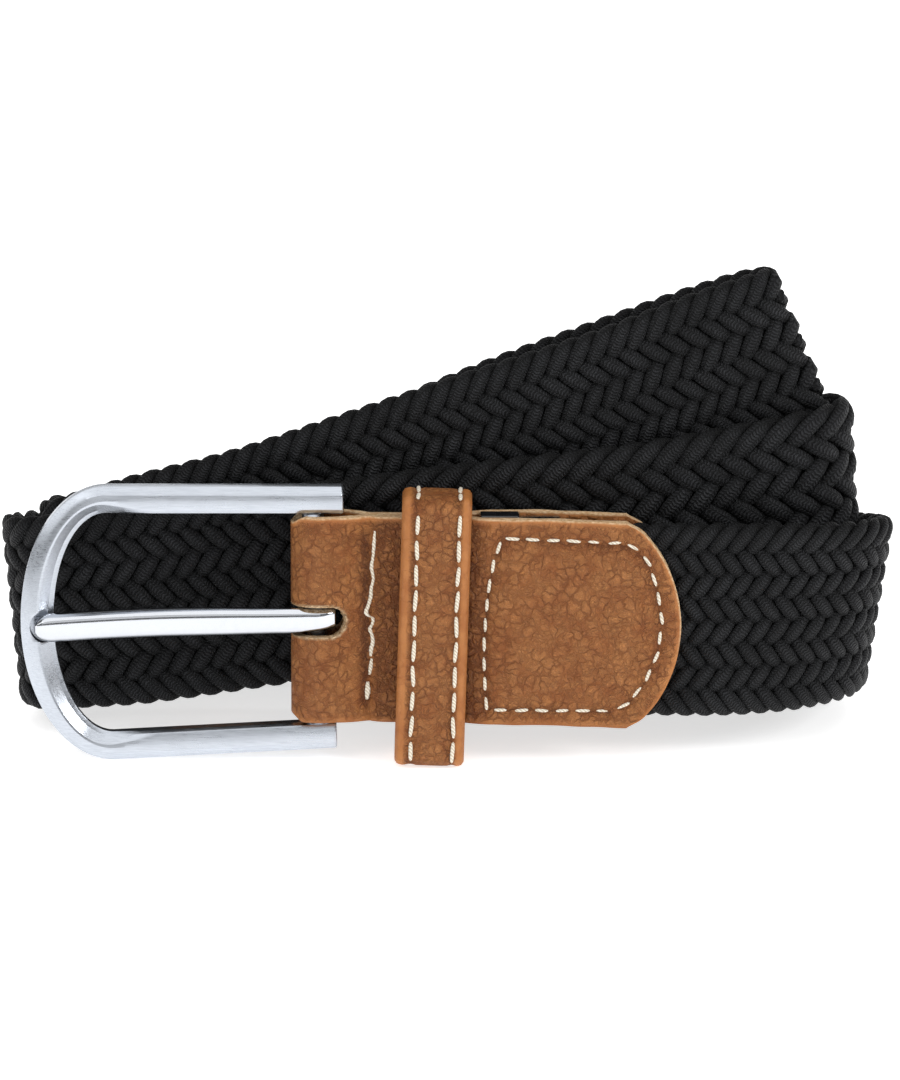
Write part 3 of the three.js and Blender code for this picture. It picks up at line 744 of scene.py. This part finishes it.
def bake(piece):
    """Turns a piece's modifiers into its mesh."""
    graph = bpy.context.evaluated_depsgraph_get()
    made = bpy.data.meshes.new_from_object(piece.evaluated_get(graph))
    old = piece.data
    piece.modifiers.clear()
    piece.data = made
    made.name = old.name
    bpy.data.meshes.remove(old)
    for polygon in made.polygons:
        polygon.use_smooth = True


# The prong's shank seen from the side and the front: place along it, its middle's depth, middle's height,
# half its width and half its thickness.
PRONG_SHANK = [
    ("along", "deep", "high", "half_wide", "half_thick"),
    (3.2, -2.0, 0.45, 1.6, 0.75),
    (1.5, -2.8, 0.4, 1.75, 0.8),
    (-2, -2.9, 0.3, 2.05, 0.9),
    (-8, -2.6, 0.3, 2.2, 1.1),
    (-16, -2.15, 0.3, 2.35, 1.2),
    (-26, -1.95, 0.32, 2.42, 1.3),
    (-36, -1.95, 0.12, 2.42, 1.35),
    (-42, -2.05, -0.08, 2.4, 1.35),
    (-44.2, -2.08, -0.15, 2.3, 1.32),
    (-45.2, -2.09, -0.15, 1.98, 1.22),
    (-45.9, -2.1, -0.15, 1.45, 1.0),
    (-46.25, -2.1, -0.15, 0.85, 0.7),
    (-46.38, -2.1, -0.15, 0.3, 0.25),
]


# The prong's section: share of half its width upwards and of half its thickness backwards.
PRONG_SECTION = [
    (1, 0.25), (0.985, -0.05), (0.93, -0.25), (0.7, -0.84), (0.64, -0.95), (0.56, -0.99), (0.3, -1.0),
    (0, -1.0), (-0.3, -0.98), (-0.5, -0.94), (-0.68, -0.84), (-0.83, -0.66), (-0.93, -0.4), (-1, 0),
    (-0.97, 0.4), (-0.84, 0.75), (-0.5, 1), (0, 1), (0.5, 1), (0.84, 0.85), (0.97, 0.55),
]


def buckle_prong(material):
    """A shank that thins towards its loop, with a round tip, and the loop round the bar."""
    rows = columns(PRONG_SHANK)
    line = chordal([(row["along"], row["deep"], row["high"]) for row in rows], 14)
    widths = chordal([(row["along"], row["half_wide"], row["half_thick"]) for row in rows], 14)
    count, around = len(line) - 1, len(PRONG_SECTION)
    section = np.array(PRONG_SECTION + PRONG_SECTION[:1])

    def place(u, v):
        i = np.rint(u * count).astype(int)
        k = np.rint(v * around).astype(int)
        z = section[k, 0] * widths[i, 1]
        y = section[k, 1] * widths[i, 2]
        return np.column_stack((line[i, 0], line[i, 1] + y, line[i, 2] + z))

    bm = bent_grid(count, around, place, (48, 12))
    weld(bm)
    shank = finish_piece("prong_metal", bm, BUCKLE_AT, material, "prong")
    mean = BAR_D / 2 + FIT + PRONG_LOOP / 2
    turns, sides = 48, 20

    def hoop(u, v):
        angle = 2 * math.pi * u
        turn = v * 2 * math.pi
        r = mean + power(np.sin(turn), 0.6) * PRONG_LOOP / 2
        z = power(np.cos(turn), 0.5) * (1.85 - 0.5 * smooth(np.cos(angle), 0.3, 1))
        return np.column_stack((r * np.cos(angle), r * np.sin(angle), z + 0.3))

    bm = bent_grid(turns, sides, hoop, (16, 8))
    finish_piece("prong_loop", weld(bm), BUCKLE_AT, material, "prong")
    return shank


def along_line(points, step):
    """Evenly spaced places on a chain of points, each with the direction there."""
    points = np.asarray(points, float)
    length = along_length(points)
    count = max(1, int(length[-1] / step))
    places = (np.arange(count) + 0.5) * length[-1] / count
    at, ahead = (
        np.column_stack([np.interp(where, length, column) for column in points.T])
        for where in (places, places + 0.2)
    )
    return at, ahead - at


STITCH_WOBBLE = 5  # degrees that a stitch may lie out of line


def stitch_row(name, places, length, thick, place, material, seed):
    """Short slightly bowed stitches, each with its middle, direction and outward direction."""
    dice = random.Random(seed)
    row = bmesh.new()
    for middle, ahead, out in places:
        ahead = Vector(ahead).normalized()
        out = (Vector(out) - ahead * Vector(out).dot(ahead)).normalized()
        side = ahead.cross(out)
        one = bmesh.ops.create_uvsphere(row, u_segments=8, v_segments=6, radius=1)["verts"]
        turn = Matrix((side, out, ahead)).transposed().to_4x4()
        lean = Matrix.Rotation(math.radians(dice.uniform(-1, 1) * STITCH_WOBBLE), 4, out)
        long = length * (1 + dice.uniform(-0.08, 0.08)) / 2
        bmesh.ops.scale(row, vec=(thick / 2, thick / 2.3, long), verts=one)
        for vert in one:
            share = vert.co.z / long
            vert.co.x *= 1 + 0.55 * share**2
            vert.co.y *= 1 + 0.55 * share**2
            vert.co.y += 0.16 * (1 - share**2) - 0.12
        bmesh.ops.transform(row, matrix=Matrix.Translation(middle) @ lean @ turn, verts=one)
    return finish_piece(name, row, place, material, "belt")


def tab_front(x, z):
    """A place on the front face of the tab, x right of the bar and z above its middle."""
    front = TAB_RUN > TAB_RUN[-1] / 2
    before = STRAIGHT + (x - STRAIGHT) / tab_stretch(z) if x > STRAIGHT else x
    along = np.interp(before, TAB_LINE[front, 0], TAB_RUN[front])
    y = tab_point(np.atleast_1d(along), np.atleast_1d(float(z)))[0][1]
    return Vector((x, y - LEAF_T / 2, z))


def box_stitches(material, side=-1):
    at, ahead = along_line(BOX_SEAM, 3.35)
    places = []
    for (x, z), (dx, dz) in zip(at, ahead):
        middle = tab_front(x, z)
        middle.y *= -side
        places.append((middle, (dx, 0, dz), (0, side, 0)))
    name = "stitches_front" if side < 0 else "stitches_back"
    return stitch_row(name, places, 2.45, 0.62, TAB_AT, material, seed=3)


def keeper_stitches(material):
    """Two rows round the keeper's front, and on its back."""
    at, out, _ = keeper_path(400)
    places = []
    for x in (0.35 - KEEPER_SEAM, 0.35 + KEEPER_SEAM):
        line = [(x, y, z) for y, z in at]
        spots, ahead = along_line(line, 4.15)
        for (px, py, pz), direction in zip(spots, ahead):
            k = int(np.argmin(np.hypot(at[:, 0] - py, at[:, 1] - pz)))
            outward = Vector((0, out[k, 0], out[k, 1]))
            middle = Vector((px, py, pz)) + outward * (KEEPER_T / 2 - 0.12)
            places.append((middle, direction, outward))
    return stitch_row("stitches_keeper", places, 3.6, 0.68, KEEPER_AT, material, seed=5)


# The uneven thread in the seam's groove, in three stretches: right of the bar, above the middle, half wide.
SEAM_THREAD = [
    [
        (9.45, 15.2, 0.16), (9.3, 12.8, 0.3), (9.15, 10.7, 0.24), (8.9, 9.0, 0.32), (9.2, 7.0, 0.24),
        (8.85, 5.3, 0.3), (8.75, 3.9, 0.34), (8.35, 2.5, 0.36), (7.95, 1.2, 0.4), (8.4, 0.6, 0.34),
        (9.05, 0.3, 0.3), (9.05, -0.7, 0.26), (8.6, -1.6, 0.34), (8.95, -2.6, 0.3), (9.1, -3.8, 0.34),
        (8.85, -5.0, 0.38), (8.75, -6.3, 0.2),
    ],
    [(8.9, -6.7, 0.2), (8.75, -8.0, 0.36), (8.55, -9.4, 0.2)],
    [(8.2, -10.6, 0.26), (8.2, -12.2, 0.5), (8.1, -13.6, 0.26)],
]


def seam_thread(material):
    """Long uneven stitches that follow one another in the groove."""
    for number, rows in enumerate(SEAM_THREAD, 1):
        line = chordal(rows, 6)
        middle = np.array([tab_front(x + 0.3, z) for x, z, _ in line])
        count = len(line) - 1

        def place(u, v):
            i = np.rint(u * count).astype(int)
            turn = v * 2 * math.pi
            half = line[i, 2]
            bead = 1 + 0.12 * np.sin(i * 1.9 + turn)
            deep = -0.1 + np.sin(turn) * half * 0.8
            return middle[i] + np.column_stack((np.cos(turn) * half * bead, deep, 0 * u))

        bm = weld(bent_grid(count, 10, place, (along_length(middle)[-1], 2)))
        finish_piece(f"seam_thread_{number}", bm, TAB_AT, material, "belt")


# The braid's melted end between the leaves: left, right, top and half its depth.
SEALED_END = [(27.0, 33.6, 17.75, 1.75), (33.3, 40.4, 17.1, 1.5)]


def sealed_end(material):
    """Two lumps of melted cord at the braid's end, at the tab's upper edge."""
    bm = bmesh.new()
    for left, right, top, half in SEALED_END:
        lump = bmesh.ops.create_cube(bm, size=1)["verts"]
        bmesh.ops.scale(bm, vec=(right - left, 2 * half, 3), verts=lump)
        bmesh.ops.translate(bm, vec=((left + right) / 2, 0, top - 1.5), verts=lump)
    soften(bm, bm.edges, 0.4, 3)
    return finish_piece("sealed_end", bm, TAB_AT, material, "belt")


class Nodes:
    """Adds and joins the nodes of one material or group."""

    def __init__(self, tree):
        self.tree = tree

    def add(self, kind, settings=None, **inputs):
        node = self.tree.nodes.new(kind)
        for key, value in (settings or {}).items():
            setattr(node, key, value)
        for key, value in inputs.items():
            socket = node.inputs[int(key[1:])] if key[1:].isdigit() else node.inputs[key.replace("_", " ")]
            if isinstance(value, bpy.types.NodeSocket):
                self.tree.links.new(value, socket)
            else:
                socket.default_value = value
        return node

    def math(self, operation, a, b=0.0, c=0.0):
        return self.add("ShaderNodeMath", {"operation": operation}, i0=a, i1=b, i2=c).outputs[0]

    def vector(self, operation, **inputs):
        return self.add("ShaderNodeVectorMath", {"operation": operation}, **inputs).outputs[0]

    def mix(self, factor, a, b):
        """One colour over another. A colour given as three numbers is opaque."""
        a, b = ((*c, 1) if isinstance(c, tuple) else c for c in (a, b))
        node = self.add("ShaderNodeMix", {"data_type": "RGBA"}, i0=factor, i6=a, i7=b)
        return node.outputs[2]

    def ramp(self, value, low, high, to_low=0.0, to_high=1.0):
        node = self.add(
            "ShaderNodeMapRange", {"interpolation_type": "SMOOTHSTEP"},
            i0=value, i1=low, i2=high, i3=to_low, i4=to_high,
        )
        return node.outputs[0]

    def noise(self, place, scale, detail, **inputs):
        node = self.add("ShaderNodeTexNoise", Vector=place, Scale=scale, Detail=detail, **inputs)
        return node.outputs["Fac"]

    def bump(self, height, strength, distance):
        """A normal from a height, with its distance in millimetres."""
        node = self.add("ShaderNodeBump", Strength=strength, Distance=distance * MM, Height=height)
        return node.outputs[0]

    def place(self):
        return self.add("ShaderNodeTexCoord").outputs["Object"]

    def mark(self, name):
        """A value that the mesh carries."""
        return self.add("ShaderNodeAttribute", {"attribute_name": name}).outputs["Fac"]


def effect(name, inputs, outputs):
    """A shader node group with named inputs and outputs."""
    tree = bpy.data.node_groups.new(name, "ShaderNodeTree")
    for label, kind, value in inputs:
        socket = tree.interface.new_socket(label, in_out="INPUT", socket_type=kind)
        if value is not None:
            socket.default_value = value
    for label, kind in outputs:
        tree.interface.new_socket(label, in_out="OUTPUT", socket_type=kind)
    nodes = Nodes(tree)
    entry = nodes.add("NodeGroupInput")
    leave = nodes.add("NodeGroupOutput")
    return nodes, entry.outputs, leave.inputs


def leather_grain():
    """Pebbled leather: soft irregular cells with creases between them, and fine wrinkles."""
    nodes, given, made = effect(
        "leather_grain",
        [
            ("Place", "NodeSocketVector", None), ("Cell", "NodeSocketFloat", 700.0),
            ("Flat", "NodeSocketFloat", 0.0), ("Folds", "NodeSocketFloat", 0.0),
        ],
        [("Height", "NodeSocketFloat"), ("Crease", "NodeSocketFloat"), ("Dome", "NodeSocketFloat")],
    )
    place = given["Place"]
    for scale, reach in ((280.0, 2.5), (1100.0, 1.1), (2600.0, 0.4)):
        drift = nodes.add("ShaderNodeTexNoise", Vector=place, Scale=scale, Detail=2.0, Roughness=0.55)
        shift = nodes.vector("SUBTRACT", i0=drift.outputs["Color"], i1=(0.5,) * 3)
        shift = nodes.vector("SCALE", i0=shift, Scale=reach * MM)
        place = nodes.vector("ADD", i0=place, i1=shift)
    uneven = nodes.noise(given["Place"], 420.0, 2.0)
    creases = []
    for share, width, strength in ((1.0, 0.18, 1.0), (2.1, 0.24, 0.8), (4.3, 0.35, 0.5)):
        scale = nodes.math("MULTIPLY", given["Cell"], share)
        cells = nodes.add(
            "ShaderNodeTexVoronoi", {"feature": "DISTANCE_TO_EDGE"}, Vector=place, Scale=scale
        )
        creases.append(nodes.ramp(cells.outputs["Distance"], 0.0, width, strength, 0.0))
    pebble = nodes.add("ShaderNodeTexVoronoi", Vector=place, Scale=given["Cell"])
    dome = nodes.ramp(pebble.outputs["Distance"], 0.05, 0.75, 1.0, 0.0)
    coarse = nodes.math("MULTIPLY", creases[0], nodes.ramp(uneven, 0.3, 0.6, 0.6, 1.0))
    middle = nodes.math("MULTIPLY", creases[1], nodes.ramp(uneven, 0.42, 0.62, 1.0, 0.35))
    folds = nodes.math("MULTIPLY_ADD", given["Folds"], 0.7, 1.0)
    both = nodes.math("MULTIPLY", nodes.math("MAXIMUM", coarse, middle), folds)
    both = nodes.math("MAXIMUM", both, creases[2])
    keep = nodes.math("MULTIPLY_ADD", given["Flat"], -0.85, 1.0)
    both = nodes.math("MULTIPLY", both, keep)
    pores = nodes.noise(given["Place"], 3800.0, 3.0)
    body = nodes.math("MULTIPLY_ADD", dome, 0.8, nodes.math("MULTIPLY", pores, 0.35))
    height = nodes.math("SUBTRACT", nodes.math("MULTIPLY", body, keep), both)
    nodes.tree.links.new(height, made["Height"])
    nodes.tree.links.new(nodes.math("MINIMUM", both, 1.0), made["Crease"])
    nodes.tree.links.new(dome, made["Dome"])
    return nodes.tree


def new_material(name):
    """A material with one Principled shader, its nodes and that shader."""
    made = bpy.data.materials.new(name)
    made.use_nodes = True
    made.node_tree.nodes.clear()
    nodes = Nodes(made.node_tree)
    shader = nodes.add("ShaderNodeBsdfPrincipled")
    end = nodes.add("ShaderNodeOutputMaterial")
    made.node_tree.links.new(shader.outputs[0], end.inputs["Surface"])
    return made, nodes, shader


def set_on(nodes, shader, **values):
    """Sets or joins sockets of a shader."""
    for key, value in values.items():
        socket = shader.inputs[key.replace("_", " ")]
        if isinstance(value, bpy.types.NodeSocket):
            nodes.tree.links.new(value, socket)
        else:
            socket.default_value = value


def grouped(nodes, tree, **inputs):
    """Places a node group in a material, with its own values."""
    node = nodes.tree.nodes.new("ShaderNodeGroup")
    node.node_tree = tree
    for key, value in inputs.items():
        if isinstance(value, bpy.types.NodeSocket):
            nodes.tree.links.new(value, node.inputs[key])
        else:
            node.inputs[key].default_value = value
    return node.outputs


KNIT_STITCH = 0.0005  # length of a knitted stitch, along a cord
KNIT_COLUMN = 0.000524  # half the width of a column of stitches, round a cord


def cord_material():
    """Black knitted elastic: slanted stitches in columns along the cord, with painted light and shade:
    lighter stitch tops, darker grooves, and darker where it dives.
    """
    made, nodes, shader = new_material("black_knitted_cord")
    uv = nodes.add("ShaderNodeUVMap", {"uv_map": "UVMap"}).outputs[0]
    parts = nodes.add("ShaderNodeSeparateXYZ", i0=uv).outputs
    place = nodes.place()
    fuzz = nodes.noise(place, 2300.0, 3.0)
    column = nodes.math("DIVIDE", nodes.math("PINGPONG", parts[1], KNIT_COLUMN), KNIT_COLUMN)
    phase = nodes.math("MULTIPLY_ADD", column, 0.45, nodes.math("DIVIDE", parts[0], KNIT_STITCH))
    phase = nodes.math("MULTIPLY_ADD", fuzz, 0.9, phase)
    stitch = nodes.math("SINE", nodes.math("MULTIPLY", phase, 2 * math.pi))
    stitch = nodes.math("MULTIPLY_ADD", stitch, 0.5, 0.5)
    groove = nodes.ramp(column, 0.02, 0.3, 0.2, 1.0)
    height = nodes.math("MULTIPLY", stitch, groove)
    height = nodes.math("MULTIPLY_ADD", fuzz, 0.8, height)
    patch = nodes.noise(place, 140.0, 2.0)
    unshaded = nodes.mark("unshaded")
    # Painted light and shade: lighter on the stitch tops and darker in the grooves, with random patches of
    # tone.
    painted_light_and_tone = nodes.math("MULTIPLY", nodes.ramp(height, 0.15, 1.5), nodes.ramp(patch, 0.25, 0.75, 0.6, 1.0))
    # Painted shade: the colour darkens where the cord dives under its neighbours.
    painted_light_and_tone = nodes.math("MULTIPLY", painted_light_and_tone, nodes.math("MULTIPLY_ADD", unshaded, 0.85, 0.15))
    colour = nodes.mix(painted_light_and_tone, (0.0012, 0.0012, 0.0014), (0.030, 0.031, 0.034))
    bump = nodes.bump(height, 1.0, 0.22)
    set_on(nodes, shader, Base_Color=colour, Roughness=0.55, Normal=bump, Specular_IOR_Level=0.16)
    set_on(nodes, shader, Sheen_Weight=0.03, Sheen_Roughness=0.4)
    return made


def leather_material(grain):
    """Tan leather with pebble grain, painted highlights on the pebbles, painted shade in the creases, folds
    and grooves, smooth rims and pale cut edges lit from above.
    """
    made, nodes, shader = new_material("tan_leather")
    place = nodes.place()
    rim, raw_and_lit_edge, shade = (nodes.mark(name) for name in LEATHER_MARKS)
    out = grouped(nodes, grain, Place=place, Cell=560.0, Flat=rim, Folds=shade)
    tint = nodes.noise(place, 230.0, 4.0)
    base = nodes.mix(nodes.ramp(tint, 0.32, 0.68), (0.385, 0.125, 0.027), (0.53, 0.21, 0.058))
    # Painted highlight: each pebble is lighter towards its top and darker towards its edges.
    base = nodes.mix(nodes.math("MULTIPLY", out["Dome"], 0.45), base, (0.62, 0.26, 0.078))
    # Painted shade in the creases.
    base = nodes.mix(nodes.math("MULTIPLY", out["Crease"], 0.72), base, (0.14, 0.035, 0.005))
    # Painted shade from the mesh's shade mark.
    base = nodes.mix(nodes.math("MULTIPLY", shade, 0.6), base, (0.11, 0.027, 0.005))
    base = nodes.mix(nodes.math("MULTIPLY", rim, 0.35), base, (0.42, 0.155, 0.042))
    fibre = nodes.noise(place, 1800.0, 4.0)
    pale = nodes.mix(nodes.ramp(fibre, 0.3, 0.7), (0.5, 0.29, 0.13), (0.85, 0.66, 0.42))
    # Pale cut edges, painted only on the upper edges, as light falling from above.
    base = nodes.mix(nodes.math("MULTIPLY", raw_and_lit_edge, 0.85), base, pale)
    bump = nodes.bump(out["Height"], 1.0, 0.42)
    rough = nodes.ramp(out["Crease"], 0.0, 1.0, 0.46, 0.66)
    set_on(nodes, shader, Base_Color=base, Roughness=rough, Normal=bump, Specular_IOR_Level=0.38)
    return made


def thread_material():
    """Cream twisted thread."""
    made, nodes, shader = new_material("cream_thread")
    place = nodes.place()
    twist = nodes.add(
        "ShaderNodeTexWave", {"bands_direction": "DIAGONAL"},
        Vector=place, Scale=900.0, Distortion=1.5, Detail=2.0,
    ).outputs["Fac"]
    colour = nodes.mix(twist, (0.66, 0.56, 0.41), (0.95, 0.9, 0.78))
    bump = nodes.bump(twist, 0.5, 0.12)
    set_on(nodes, shader, Base_Color=colour, Roughness=0.72, Normal=bump, Sheen_Weight=0.1)
    return made


def nickel_material():
    """Satin brushed nickel, with fine streaks along the arms."""
    made, nodes, shader = new_material("brushed_nickel")
    place = nodes.place()
    stretch = nodes.add("ShaderNodeMapping", Vector=place, Scale=(260.0, 2600.0, 5200.0)).outputs[0]
    streak = nodes.noise(stretch, 1.0, 4.0, Roughness=0.65)
    cloud = nodes.noise(place, 130.0, 2.0)
    colour = nodes.mix(nodes.ramp(streak, 0.25, 0.75), (0.47, 0.5, 0.55), (0.6, 0.635, 0.69))
    dull = nodes.ramp(cloud, 0.3, 0.7, -0.02, 0.04)
    rough = nodes.math("ADD", nodes.ramp(streak, 0.2, 0.8, 0.24, 0.36), dull)
    bump = nodes.bump(streak, 0.12, 0.05)
    set_on(nodes, shader, Base_Color=colour, Metallic=1.0, Roughness=rough, Normal=bump)
    return made


def chrome_material():
    """Polished chrome with faint scratches, and a painted dark reflection on the faces that turn downwards.
    """
    made, nodes, shader = new_material("polished_chrome")
    place = nodes.place()
    scratch = nodes.noise(place, 900.0, 5.0, Roughness=0.7)
    colour = nodes.mix(scratch, (0.6, 0.62, 0.66), (0.68, 0.7, 0.74))
    normal = nodes.add("ShaderNodeTexCoord").outputs["Normal"]
    facing = nodes.add("ShaderNodeSeparateXYZ", i0=normal).outputs[2]
    # Painted reflection: faces that turn downwards are darker.
    colour = nodes.mix(nodes.ramp(facing, -0.8, -0.15, 1.0, 0.0), colour, (0.09, 0.095, 0.105))
    rough = nodes.ramp(scratch, 0.3, 0.8, 0.06, 0.13)
    set_on(nodes, shader, Base_Color=colour, Metallic=1.0, Roughness=rough)
    return made


def melted_material():
    """The black end of the braid, sealed and shiny."""
    made, nodes, shader = new_material("melted_cord")
    place = nodes.place()
    dents = nodes.noise(place, 620.0, 3.0)
    bump = nodes.bump(dents, 0.7, 0.6)
    colour = nodes.mix(dents, (0.003, 0.003, 0.004), (0.012, 0.012, 0.014))
    set_on(nodes, shader, Base_Color=colour, Roughness=0.22, Normal=bump, Coat_Weight=0.5)
    return made


def floor_material():
    """Plain pale floor."""
    made, nodes, shader = new_material("pale_floor")
    place = nodes.place()
    cloud = nodes.noise(place, 3.0, 2.0)
    colour = nodes.mix(cloud, (0.86, 0.86, 0.86), (0.9, 0.9, 0.9))
    set_on(nodes, shader, Base_Color=colour, Roughness=0.9, Specular_IOR_Level=0.0)
    set_on(nodes, shader, Emission_Color=(1, 1, 1, 1), Emission_Strength=0.66)
    return made


def copy_of_node(node, name, looks, body, bevel):
    """A finer copy of a CAD node: corners merged and edges rounded."""
    bm = bmesh.new()
    bm.from_mesh(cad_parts[node].data)
    bmesh.ops.remove_doubles(bm, verts=bm.verts, dist=1e-6)
    bmesh.ops.dissolve_limit(bm, angle_limit=math.radians(1), verts=bm.verts, edges=bm.edges)
    piece = finish_piece(name, bm, Matrix.Identity(4), looks, body)
    for mark in LEATHER_MARKS:
        piece.data.attributes.new(mark, "FLOAT", "POINT")
    edges = piece.modifiers.new("edges", "BEVEL")
    edges.width = bevel * MM
    edges.segments = 3
    edges.limit_method = "ANGLE"
    edges.angle_limit = math.radians(35)
    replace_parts(piece, node)
    return piece


CAMERA_AWAY = 2000  # from what it looks at
CAMERA_DOWN = 23.5  # degrees that it looks down
CAMERA_TARGET = (0.18, 0, 33.48)
CAMERA_SENSOR = 36
CAMERA_LENS = 402.8


def camera():
    """A long lens from the front."""
    rise = math.radians(CAMERA_DOWN)
    target = Vector(CAMERA_TARGET) * MM
    back = Vector((0, -math.cos(rise), math.sin(rise)))
    data = bpy.data.cameras.new("camera")
    data.sensor_width = CAMERA_SENSOR
    data.lens = CAMERA_LENS
    data.clip_start, data.clip_end = 0.1, 50
    made = bpy.data.objects.new("camera", data)
    made.location = target + back * (CAMERA_AWAY * MM)
    made.rotation_mode = "QUATERNION"
    made.rotation_quaternion = (-back).to_track_quat("-Z", "Y")
    bpy.context.scene.collection.objects.link(made)
    bpy.context.scene.camera = made


# Metres, and watts
LAMPS = [
    ("name", "place", "size", "watts"),
    ("top_lamp", (0.0, -0.25, 1.3), (2.0, 1.5), 11),
    ("left_lamp", (-1.1, -0.45, 0.8), (1.2, 1.0), 4.5),
    ("back_lamp", (0.0, 1.2, 0.72), (2.0, 1.0), 5.5),
    ("front_lamp", (-0.2, -2.3, 1.05), (1.8, 1.6), 6),
    ("right_lamp", (0.8, -0.3, 0.5), (0.3, 0.3), 3.6),
]
LIT_AT = (0, 0, 0.03)  # where they all point


def area_light(name, place, size, watts):
    """A rectangular lamp that points at the belt."""
    data = bpy.data.lights.new(name, "AREA")
    data.shape = "RECTANGLE"
    data.size, data.size_y = size
    data.energy = watts
    made = bpy.data.objects.new(name, data)
    made.location = place
    direction = Vector(LIT_AT) - Vector(place)
    made.rotation_mode = "QUATERNION"
    made.rotation_quaternion = direction.to_track_quat("-Z", "Y")
    bpy.context.scene.collection.objects.link(made)


def studio(looks):
    """The pale floor, soft lamps from above and the front, and an even sky."""
    bm = bmesh.new()
    bmesh.ops.create_grid(bm, x_segments=2, y_segments=2, size=3)
    mesh = bpy.data.meshes.new("floor")
    bm.to_mesh(mesh)
    bm.free()
    mesh.materials.append(looks)
    floor = bpy.data.objects.new("floor", mesh)
    bpy.context.scene.collection.objects.link(floor)
    for lamp in columns(LAMPS):
        area_light(**lamp)
    world = bpy.data.worlds.new("studio")
    world.use_nodes = True
    world.node_tree.nodes["Background"].inputs["Color"].default_value = (1, 1, 1, 1)
    world.node_tree.nodes["Background"].inputs["Strength"].default_value = 0.16
    scene = bpy.context.scene
    scene.world = world
    scene.view_settings.view_transform = "Standard"
    scene.view_settings.look = "None"
    scene.view_settings.exposure = 0
    scene.view_settings.gamma = 1


def dress():
    """Makes every piece of the belt."""
    grain = leather_grain()
    cord = cord_material()
    leather = leather_material(grain)
    thread = thread_material()
    nickel = nickel_material()
    chrome = chrome_material()

    cords = [braid_cord(i, cord) for i in range(CORDS)]
    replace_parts(cords[0], "braid_strap")
    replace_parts(leather_tab(leather), "buckle_tab")
    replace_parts(leather_keeper(leather), "keeper")
    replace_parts(buckle_frame(nickel), "buckle_frame")
    buckle_bar(nickel)
    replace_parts(buckle_prong(chrome), "prong")
    copy_of_node("tip_cover", "tip_leather", leather, "belt", bevel=0.3)
    box_stitches(thread)
    box_stitches(thread, side=1)
    keeper_stitches(thread)
    seam_thread(thread)
    sealed_end(melted_material())


camera()
studio(floor_material())
dress()
